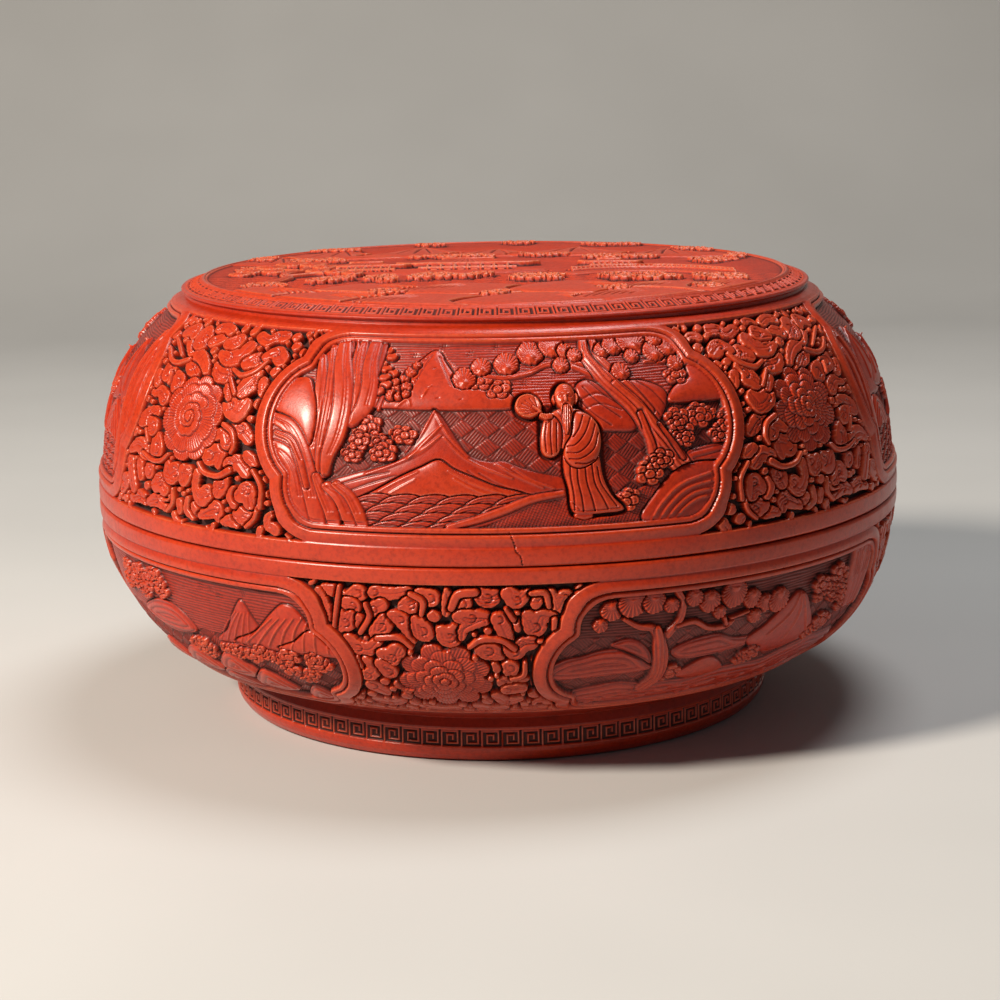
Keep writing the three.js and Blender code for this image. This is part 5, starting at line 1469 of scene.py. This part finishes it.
# A fine age crack across the surface, from (arc, length) points
def hairline(full, y, path, depth=0.5):
    line = curve([(a, b, 0.2) for a, b in path], 8)
    for (ax, ay, _), (bx, by, _) in zip(line, line[1:]):
        n = max(2, int(math.hypot(bx - ax, by - ay) / columnArc * 2))
        for t in np.linspace(0, 1, n):
            i = int(round((ax + (bx - ax) * t) / columnArc)) % allColumns
            j = int(round((ay + (by - ay) * t) / (y[1] - y[0])))
            if 0 <= j < full.shape[0]:
                full[j, i] -= depth


def sectorMeshes(half, wall, y, full):
    # painted shade in the cuts and a painted sheen on the edges, with grime and wear
    tone = toneOf(full, columnArc)
    r, z, nr, nz = (v[:, None] for v in wall.at(y if half == "base" else 0.3 + y * (1 - 0.3 / wall.length)))
    flipped = half == "base"
    for k in range(sectorCount):
        columns = np.arange(k * sectorColumns, (k + 1) * sectorColumns + 1)
        turn = columns * columnArc / arcRadius
        h = full[:, columns % allColumns]
        radius, height = r + nr * h, z + nz * h
        points = aroundAxis(turn, radius, height)
        rows, count = h.shape
        faces, colours = gridFaces(rows, count, flipped), tone[:, columns % allColumns].reshape(-1)
        made = meshObject(f"{half}_carving_{k + 1}", points.reshape(-1, 3), faces, half, "red_lacquer",
                          gridMap(rows, count), colours)
        if k == 0:
            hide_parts(f"{half}_carved_coat")
    print(f"{half} carved:", full.shape)


print("carving spandrels")
lidLeft = spandrel("lid", leavesLeft, stemsLeft, seed=3, turn=0.5, twist=1)
lidRight = spandrel("lid", flip(leavesLeft), flip(stemsLeft), seed=5, turn=2.1, twist=-1)
lidBackLeft = spandrel("lid", leavesLeft, stemsLeft, seed=7, turn=1.2, twist=1)
lidBackRight = spandrel("lid", flip(leavesLeft), flip(stemsLeft), seed=9, turn=0.2, twist=-1)
baseFront = spandrel("base", leavesBase, stemsBase, seed=11, turn=0.8, twist=-1)
baseSide = spandrel("base", flip(leavesBase), flip(stemsBase), seed=13, turn=0.1, twist=1)
print("carving pictures")
lidPictures = [frontPicture()]
for seed, mirror in ((51, False), (52, True), (53, True)):
    lidPictures.append(hillsPicture("lid", seed, mirror))
basePictures = [baseRightPicture(), hillsPicture("base", 61, False), hillsPicture("base", 62, True),
                baseLeftPicture()]
lidWall, lidRows, lidHeights = carveHalf("lid", lidPictures, [lidRight, lidBackRight, lidBackLeft, lidLeft])
hairline(lidHeights, lidRows, [(3.6, 13.4), (5.2, 9.6), (5.8, 6.4), (7.6, 4.0), (8.2, 0.6)])
sectorMeshes("lid", lidWall, lidRows, lidHeights)
oldManFigure()
sectorMeshes("base", *carveHalf("base", basePictures, [baseSide, baseFront, baseSide, baseFront]))

# crown and foot
# A carved band between two circles, each given as (radius, height); carve gives heights from arc and rise
def bandMesh(name, lowEdge, highEdge, radius, carve, body, parts=2):
    tall = math.dist(lowEdge, highEdge)
    rows, columns = max(4, round(tall / grain)), round(2 * math.pi * radius / grain / parts) * parts
    arc = np.arange(columns + 1) / columns * 2 * math.pi * radius
    y = np.linspace(0, tall, rows + 1)
    gx, gy = np.meshgrid(arc, y)
    h = carve(gx, gy, tall)
    h[:, -1] = h[:, 0]
    # painted shade with grime in the sunk meander, a painted sheen with wear on its ridges
    tone = toneOf(h, grain, wrap=True, deep=-0.9, cavityStrength=1.2, start=0.2).reshape(h.shape)
    nr, nz = (highEdge[1] - lowEdge[1]) / tall, (lowEdge[0] - highEdge[0]) / tall
    r = (lowEdge[0] + (highEdge[0] - lowEdge[0]) * y / tall)[:, None] + nr * h
    z = (lowEdge[1] + (highEdge[1] - lowEdge[1]) * y / tall)[:, None] + nz * h
    step = columns // parts
    finish = dustyRed if body == "lid" else None
    for k in range(parts):
        part = slice(k * step, (k + 1) * step + 1)
        turn = arc[part] / radius
        points = aroundAxis(turn, r[:, part], z[:, part]).reshape(-1, 3)
        meshObject(f"{name}_{k + 1}", points, gridFaces(rows + 1, step + 1), body, "red_lacquer",
                   gridMap(rows + 1, step + 1), tone[:, part].reshape(-1), finish)


# The foot: a square meander sunk between plain bands, a unit of it 8.365 mm long
def fretBand(x, y, tall):
    low, high = 0.55, tall - 0.55
    ridge = meander(x, y - low - 0.5, 8.365, high - low - 1.0)
    inside = smooth((y - low) / 0.35) * smooth((high - y) / 0.35)
    return -0.95 * inside * (1 - ridge) - 0.12 * inside * ridge


# Crown, lines of (radius, height) in mm; a unit of its border is the pitch long
crown = {
    "moulding": [(140.4, 180.9), (136.2, 182.4), (136.0, 183.5), (136.3, 184.0), (137.1, 184.15),
                 (137.65, 184.6), (137.7, 185.2), (137.2, 185.7), (136, 185.78)],
    "borderLow": (136.05, 185.75), "borderHigh": (128.6, 188.9), "borderMiddle": 132.0, "pitch": 7.54,
    "ring": [(128.7, 188.6), (128.5, 189.0), (128.2, 189.25), (127.7, 189.25), (127.35, 189.0),
             (127.2, 188.4), (127.1, 186)],
}


# The crown's sloping border: the same meander, smaller, with worn ridges
def keyBorder(x, y, tall):
    low, high = 1.0, tall - 0.5
    ridge = meander(-x, y - low - 0.4, crown["pitch"], high - low - 0.8, 0.44)
    inside = smooth((y - low) / 0.35) * smooth((high - y) / 0.35)
    wear = 0.15 * np.sin(x / 11) * np.sin(x / 3.7)
    return -0.85 * inside * (1 - ridge) - (0.15 + wear) * inside * ridge


turned("lid_crown_moulding", crown["moulding"], "lid", "red_lacquer", segments=360, tone=0.6)
bandMesh("lid_key_border", crown["borderLow"], crown["borderHigh"], crown["borderMiddle"], keyBorder, "lid")
crownRing = turned("lid_crown_ring", crown["ring"], "lid", "red_lacquer", segments=360, tone=0.68)
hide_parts("lid_crown_coat")


# Medallion, x and y in mm from the crown's centre. Peaks, pavilions and near hills are (x, y, half width,
# height), islands (x, y, half width). Outlines and flanks are shares of these, an island's heights in mm
landscape = {
    "stars": [(-20, 112), (15, 108), (40, 100), (-48, 104), (-5, 98), (70, 88)],
    "peaks": [(-72, 62, 34, 34), (-34, 66, 30, 42), (2, 64, 28, 30), (40, 62, 34, 36), (82, 52, 30, 34),
              (-100, 40, 24, 30)],
    "middleBlossom": [(-84, 50, 30, 12, 71), (-20, 56, 40, 10, 72), (58, 48, 36, 11, 73),
                      (100, 30, 18, 16, 74), (-108, 14, 14, 22, 75), (24, 58, 24, 8, 76)],
    "skyBlossom": [(-78, 92, 22, 7, 61), (-34, 113, 26, 6, 62), (14, 117, 24, 6, 63), (56, 104, 26, 7, 64),
                   (94, 76, 16, 10, 65), (-108, 56, 10, 14, 66), (112, 44, 8, 16, 67)],
    "islands": [(-26, 2, 50), (52, 4, 20)],
    "pavilions": [(-12, 6, 27, 30), (-58, 4, 17, 22), (52, 8, 12, 18)],
    "bridge": [(34, -18), (52, -10), (70, -8), (88, -13), (104, -24)],
    "pineTrunk": [(-96, -38, 3.4), (-90, -22, 2.8), (-92, -4, 2.4), (-84, 12, 2.0), (-88, 26, 1.6)],
    "rightBranch": [(-90, -14, 1.8), (-78, -8, 1.4), (-68, -12, 1.1)],
    "leftBranch": [(-88, 6, 1.6), (-100, 12, 1.3), (-110, 8, 1.0)],
    "needles": [(-108, 4, 5), (-100, 17, 5.5), (-92, 30, 6), (-82, 24, 5), (-76, 14, 4.6), (-70, -6, 4.4),
                (-78, -2, 4.6), (-62, -14, 4), (-112, -6, 4.2), (-98, 2, 4.4)],
    "shoreBlossom": [(-62, -36, 40, 14, 81), (-20, -32, 34, 12, 82), (16, -40, 30, 14, 83),
                     (60, -40, 36, 15, 84), (96, -44, 20, 16, 85), (-98, -52, 18, 12, 86)],
    "nearHills": [(-52, -62, 26, 22), (-10, -66, 30, 22), (34, -64, 28, 24), (74, -64, 24, 22),
                  (-96, -66, 24, 30), (100, -62, 20, 26), (-70, -88, 32, 26), (-28, -98, 34, 24),
                  (20, -100, 36, 24), (62, -90, 30, 26)],
    "oddFlank": [(-0.2, 0.6), (-0.7, 0.2), (-1, -0.5)],
    "evenFlank": [(0.3, 0.5), (0.8, 0.1), (1, -0.5)],
    "peakOutline": [(-1, 0), (-0.62, 0.4), (-0.2, 0.82), (0, 1), (0.24, 0.74), (0.6, 0.36), (1, 0)],
    "islandOutline": [(-1, -8), (-0.7, 2), (0, 5), (0.7, 3), (1, -7), (0.5, -14), (-0.5, -15)],
    "hillOutline": [(-1, -0.5), (-0.7, 0.2), (-0.2, 0.6), (0.3, 0.5), (0.8, 0.1), (1, -0.5), (0, -0.9)],
    "nearBlossom": [(-44, -84, 12, 8, 91), (2, -92, 10, 8, 92), (46, -82, 12, 8, 93), (88, -76, 10, 9, 94)],
}


# The medallion: a lakeside with hills, pavilions, a railed bridge, pines and blossom, seen from above
def roundPicture():
    form = landscape
    r = Relief(-127.6, 127.6, -127.6, 127.6, -1.9, 0.43)
    gx, gy = np.meshgrid(r.x, r.y)
    sky = smooth((gy - 62 - 6 * np.sin(gx / 30)) / 1.5)
    land = smooth((-gy - 20 + 8 * np.sin(gx / 24)) / 1.5)
    water = ripples(gx, gy + 1.2 * np.sin(gx / 6), -1.7, 1.9)
    r.h = water * (1 - sky) * (1 - land) + ripples(gx, gy, -1.5, 1.6) * sky + lattice(gx, gy, -1.9) * land
    for x, y in form["stars"]:
        mark(r, x, y, 0.4)
    for n, (cx, cy, w, t) in enumerate(form["peaks"]):
        outline = [(cx + w * x, cy + t * y) for x, y in form["peakOutline"]] + [(cx, cy - 5)]
        r.mass(outline, top=-0.2 - 0.12 * (n % 3), rise=1.0, width=5)
        for k in range(6):
            bend = -0.75 + 0.3 * k
            middle = (cx + bend * 0.45 * w, cy + 0.6 * t, 1.0)
            end = (cx + bend * 0.9 * w, cy + 0.1 * t, 0.6)
            r.cut([(cx + 0.02 * w, cy + 0.94 * t, 0.3), middle, end], depth=0.9)
    for cx, cy, w, t, seed in form["middleBlossom"]:
        flowers(r, cx, cy, w, t, seed, 0.1)
    for cx, cy, w, t, seed in form["skyBlossom"]:
        flowers(r, cx, cy, w, t, seed, 1.0)
    # islands with pavilions
    for cx, cy, w in form["islands"]:
        outline = [(cx + w * x, cy + y) for x, y in form["islandOutline"]]
        r.mass(outline, top=-0.8, rise=0.7, width=3, contour=0.4, pitch=3)
    for cx, cy, w, t in form["pavilions"]:
        left, right, foot, top = cx - 0.72 * w, cx + 0.72 * w, cy - 9, cy + 0.4 * t
        r.mass([(left, foot), (left, top), (right, top), (right, foot)], top=-0.5, rise=0.2, width=2, steps=1)
        for k in range(-3, 4):
            post = cx + 0.22 * w * k
            r.bead([(post, foot, 0.7), (post, top, 0.7)], top=0.2, dome=0.3, moat=0.6, gap=-2.0)
        for rail in (-6.4, -3.4):
            bar = [(cx - 0.8 * w, cy + rail, 0.55), (cx + 0.8 * w, cy + rail, 0.55)]
            r.bead(bar, top=0.1, dome=0.3, moat=0.3, gap=-1.2)
        eaves, shoulder, ridge = cy + 0.42 * t, cy + 0.72 * t, cy + 0.95 * t
        tip = cy + 0.3 * t + 2.4
        roof = [(cx - 1.12 * w, tip), (cx - 0.86 * w, eaves), (cx - 0.5 * w, shoulder), (cx - 0.34 * w, ridge),
                (cx + 0.34 * w, ridge), (cx + 0.5 * w, shoulder), (cx + 0.86 * w, eaves), (cx + 1.12 * w, tip),
                (cx + 0.7 * w, cy + 0.28 * t), (cx - 0.7 * w, cy + 0.28 * t)]
        r.mass(roof, top=0.45, rise=0.35, width=2, steps=3)
        for k in range(-7, 8):
            tile = [(cx + 0.045 * w * k, cy + 0.9 * t, 0.35), (cx + 0.115 * w * k, cy + 0.34 * t, 0.4)]
            r.cut(tile, depth=0.5)
        along = [(cx + share * w, cy + rise * t, 1.0)
                 for share, rise in ((-0.42, 0.98), (0, 0.94), (0.42, 0.98))]
        r.bead(along, top=0.7, dome=0.4, moat=0.2)
        tip, gutter = cy + 0.34 * t + 2, cy + 0.3 * t
        below = [(cx - 1.18 * w, tip, 0.8), (cx - 0.8 * w, gutter, 0.9), (cx + 0.8 * w, gutter, 0.9),
                 (cx + 1.18 * w, tip, 0.8)]
        r.bead(below, top=0.6, dome=0.3, moat=0.2)
    # railed bridge
    deck = form["bridge"]
    r.bead([(x, y - 4, 4.2) for x, y in deck], top=-0.5, dome=0.3, moat=0.8, gap=-2.0)
    line = curve(deck, 9)
    for x, y in line:
        r.bead([(x, y + 0.5, 0.62), (x, y + 8, 0.62)], top=0.3, dome=0.3, moat=0.25, gap=-1.7)
    r.bead([(x, y + 8.6, 0.95) for x, y in deck], top=0.5, dome=0.3, moat=0.2)
    r.bead([(x, y, 0.95) for x, y in deck], top=0.4, dome=0.3, moat=0.2)
    # pines and blossom on the shore
    r.bead(form["pineTrunk"], top=0.2, dome=0.9, moat=0.6, gap=-2.0, grooves=0.3)
    r.bead(form["rightBranch"], top=0.1, dome=0.6, moat=0.5)
    r.bead(form["leftBranch"], top=0.1, dome=0.6, moat=0.5)
    for x, y, size in form["needles"]:
        r.pine(x, y, size, top=0.5)
    for cx, cy, w, t, seed in form["shoreBlossom"]:
        flowers(r, cx, cy, w, t, seed, 0.9)
    # rounded hills along the near edge, outermost last
    for n, (cx, cy, w, t) in enumerate(form["nearHills"]):
        cy -= 8
        outline = [(cx + w * x, cy + t * y) for x, y in form["hillOutline"]]
        r.mass(outline, top=0.7, rise=1.0, width=5, moat=0.8, gap=-1.8)
        flank = form["oddFlank"] if n % 2 else form["evenFlank"]
        for share in (0.88, 0.76, 0.64, 0.52, 0.4, 0.28):
            line = [(cx + share * w * x, cy + share * t * y - 0.02 * t / share, wide)
                    for (x, y), wide in zip(flank, (0.35, 0.85, 0.6))]
            r.cut(line, depth=0.9)
    for cx, cy, w, t, seed in form["nearBlossom"]:
        flowers(r, cx, cy, w, t, seed, 1.0)
    return r


def medallion():
    r = roundPicture()
    gx, gy = np.meshgrid(r.x, r.y)
    rho = np.hypot(gx, gy)
    edge = smooth((126.8 - rho) / 0.8)
    h = r.h * edge - 0.5 * (1 - edge)
    # painted shade with grime in the cuts, a painted sheen with wear on the edges
    tone = toneOf(h, r.step, wrap=False, deep=-4.0, cavityStrength=1.5, start=0.5)
    h = np.where(h < 0, h * (1 - 0.6 * smooth((rho - 96) / 26)), h)
    dome = 189.1 + 1.5 * (1 - (rho / 127.3) ** 2)
    pull = np.minimum(1, 127.2 / np.maximum(rho, 1e-6))
    points = np.stack([gx * pull, gy * pull, dome + h], -1)
    middle = len(r.x) // 2
    near, far = slice(0, middle + 1), slice(middle, None)
    for k, quarter in enumerate(((near, near), (near, far), (far, near), (far, far))):
        part = points[quarter]
        faces = gridFaces(*part.shape[:2])
        outside = (rho[quarter] > 127.2 + r.step).reshape(-1)
        partMesh(f"lid_medallion_{k + 1}", part, faces[~outside[faces].any(1)], tone[quarter], dustyRed)


medallion()
print("crown carved")

# Foot, in mm: control points of the cove above it, then lines of (radius, height)
foot = {
    "cove": [(140.5, 28), (118, 20.6), (118, 18.8)],
    "collar": [(119.75, 14.85), (119.85, 15.4), (119.4, 16.2), (118, 18.8), (113, 18.8)],
    "fretLow": (119.8, 6.4), "fretHigh": (119.8, 14.9),
    "sole": [(112.6, 0), (114.6, 0), (115.3, 0.1), (117.4, 1.2), (119.0, 3.4), (119.7, 5.2), (119.8, 6.45)],
}
# the cove and the collar under the base's overhang take a darker tone than the plain one, painted shade
turned("base_cove", bezier(foot["cove"], 40)[::-1].tolist(), "base", "red_lacquer", segments=360, tone=0.5)
turned("foot_collar", foot["collar"], "base", "red_lacquer", segments=360, tone=0.5)
bandMesh("foot_fret", foot["fretLow"], foot["fretHigh"], foot["fretLow"][0], fretBand, "base")
footSole = turned("foot_sole", foot["sole"], "base", "red_lacquer", segments=360, tone=0.62)
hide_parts("foot_coat")
print("foot carved")

# rims, inside and underside
# Lines of (radius, height) in mm; the linings' walls are curves through control points
inside = {
    "baseRimEdge": [(175.75, seam), (171.4, seam), (171.3, 94.2)],
    "lidRimEdge": [(171.3, 97), (171.4, seam + 0.3), (175.75, seam + 0.3)],
    "baseSeat": [(171.5, 95.1), (171.2, 95.38), (164.2, 95.38), (163.8, 95.1)],
    "lidSeat": [(162.8, 96.1), (163.2, 95.82), (171.2, 95.82), (171.5, 96.1)],
    "baseLiningFloor": [(0.01, 37.5), (116, 37.5)],
    "baseLiningWall": [(118, 37.5), (140, 41), (159.3, 55), (160.8, 83.2)],
    "baseLiningEdge": [(162, 83.2)],
    "lip": [(163.6, 84.0), (163.6, 95.2), (161.9, 95.25), (161.85, 101.6), (160.8, 102.85), (160.2, 103.0),
            (157.6, 103.0), (157.1, 102.5), (157.1, 83.6)],
    "lidLiningEdge": [(163.6, 96)],
    "lidLiningWall": [(162.4, 96), (162.4, 128), (152, 152), (129, 168.95)],
    "lidLiningTop": [(127, 169), (0.01, 169)],
    "underside": [(0.01, 20.2), (101.6, 20.2), (102.9, 19.6), (103.05, 19.3)],
    "hoop": [(112.55, 0.02), (104, 0.02), (103.1, 0.8), (103.0, 2), (103.0, 18.5)],
}
liningWall = bezier(inside["baseLiningWall"], 34).tolist()
baseLining = inside["baseLiningFloor"] + liningWall + inside["baseLiningEdge"]
lidLining = inside["lidLiningEdge"] + bezier(inside["lidLiningWall"], 34).tolist() + inside["lidLiningTop"]
turned("base_rim_edge", inside["baseRimEdge"], "base", "red_lacquer", segments=360, tone=0.62)
turned("lid_rim_edge", inside["lidRimEdge"], "lid", "red_lacquer", segments=360, tone=0.62)
turned("base_rim_seat", inside["baseSeat"], "base", "black_lacquer", segments=240)
turned("lid_rim_seat", inside["lidSeat"], "lid", "black_lacquer", segments=240)
smoothBaseLining = turned("base_lining_smooth", baseLining, "base", "black_lacquer", segments=240)
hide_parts("base_lining")
smoothLip = turned("base_lip_smooth", inside["lip"], "base", "black_lacquer", segments=240)
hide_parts("base_mouth_lip")
smoothLidLining = turned("lid_lining_smooth", lidLining, "lid", "black_lacquer", segments=240)
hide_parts("lid_lining")
smoothUnderside = turned("underside_smooth", inside["underside"], "base", "black_lacquer", segments=240)
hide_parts("underside_coat")
smoothHoop = turned("foot_hoop_smooth", inside["hoop"], "base", "core_wood", segments=240)
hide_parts("foot_hoop_core")
print("inside and rims done")

# floor, light, camera
# Matt paper rolled up behind the box, in metres; its faint mottle is about as large as a quarter of a metre
studio = {"dark": "#bdbdbb", "light": "#c3c3c1", "mottle": 250, "halfWidth": 4.0, "front": -3.0, "bend": 1.2,
          "bendRadius": 0.8, "back": 3.2}
paper, tree, shader = material("studio floor, matt paper")
where = node(tree, "ShaderNodeTexCoord").outputs["Object"]
paperShades = [(0.3, studio["dark"]), (0.7, studio["light"])]
mottle = ramp(tree, noise(tree, where, studio["mottle"], detail=2), paperShades)
feed(tree, shader, "Base Color", mottle)
feed(tree, shader, "Roughness", 0.9)
bend, bendRadius = studio["bend"], studio["bendRadius"]
rolled = [(bend + bendRadius * math.sin(a), bendRadius - bendRadius * math.cos(a))
          for a in np.linspace(0, math.pi / 2, 24)[1:]]
section = [(studio["front"], 0.0), (bend, 0.0)] + rolled + [(bend + bendRadius, studio["back"])]
edges = [(x, y, z) for y, z in section for x in (-studio["halfWidth"], studio["halfWidth"])]
floorMesh = bpy.data.meshes.new("floor")
floorMesh.from_pydata(edges, [], gridFaces(len(section), 2).tolist())
floorMesh.polygons.foreach_set("use_smooth", np.ones(len(floorMesh.polygons), bool))
floorMesh.materials.append(paper)
floor = bpy.data.objects.new("floor", floorMesh)
bpy.context.scene.collection.objects.link(floor)


def lamp(name, place, aim, power, size, tint="#ffffff"):
    light = bpy.data.lights.new(name, "AREA")
    light.shape, light.size, light.energy, light.color = "DISK", size, power, colour(tint)[:3]
    made = bpy.data.objects.new(name, light)
    made.location = place
    made.rotation_euler = (Vector(aim) - Vector(place)).to_track_quat("-Z", "Y").to_euler()
    bpy.context.scene.collection.objects.link(made)


# A small warm key from the left, a large weak fill from the right and one lamp above, in metres and watts
lamp("key", (-1.3, -1.04, 1.24), aim=(0, 0, 0.1), power=60, size=0.34, tint="#fff2e2")
lamp("fill", (1.4, -0.9, 0.6), aim=(0, 0, 0.1), power=0.35, size=0.8, tint="#e8f0ff")
lamp("top", (0.3, 0.2, 1.6), aim=(0, 0, 0.15), power=13, size=0.7)
world = bpy.data.worlds.new("studio")
bpy.context.scene.world = world
world.use_nodes = True
background = world.node_tree.nodes["Background"]
background.inputs["Color"].default_value = colour("#d6dade")
background.inputs["Strength"].default_value = 0.088

# The photograph's camera: focal length in picture widths, distance in metres from the seam's middle
view = {"focal": 2.346, "distance": 1.056, "pitch": 11.25, "roll": -0.9, "shift": (0.002, -0.023)}
pitch, roll = math.radians(view["pitch"]), math.radians(view["roll"])
forward = Vector((0, math.cos(pitch), -math.sin(pitch)))
upright = Vector((0, math.sin(pitch), math.cos(pitch)))
right = forward.cross(upright)
across = right * math.cos(roll) + upright * math.sin(roll)
up = upright * math.cos(roll) - right * math.sin(roll)
lens = bpy.data.cameras.new("camera")
camera = bpy.data.objects.new("camera", lens)
bpy.context.scene.collection.objects.link(camera)
lens.sensor_width, lens.sensor_fit = 36, "HORIZONTAL"
lens.lens = view["focal"] * lens.sensor_width
lens.shift_x, lens.shift_y = view["shift"]
lens.clip_start, lens.clip_end = 0.01, 20
place = Vector((0, 0, seam * mm)) - forward * view["distance"]
camera.matrix_world = Matrix([[across[i], up[i], -forward[i], place[i]] for i in range(3)] + [[0, 0, 0, 1]])
bpy.context.scene.camera = camera
bpy.context.scene.view_settings.view_transform = "Standard"

# The solids that stay in the picture get the material of their slot by their name
for name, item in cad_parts.items():
    chosen = red
    if "core" in name or "board" in name:
        chosen = wood
    elif "lining" in name or "lip" in name or "underside" in name:
        chosen = black
    for slot in item.material_slots:
        slot.material = chosen
    if not item.material_slots:
        item.data.materials.append(chosen)
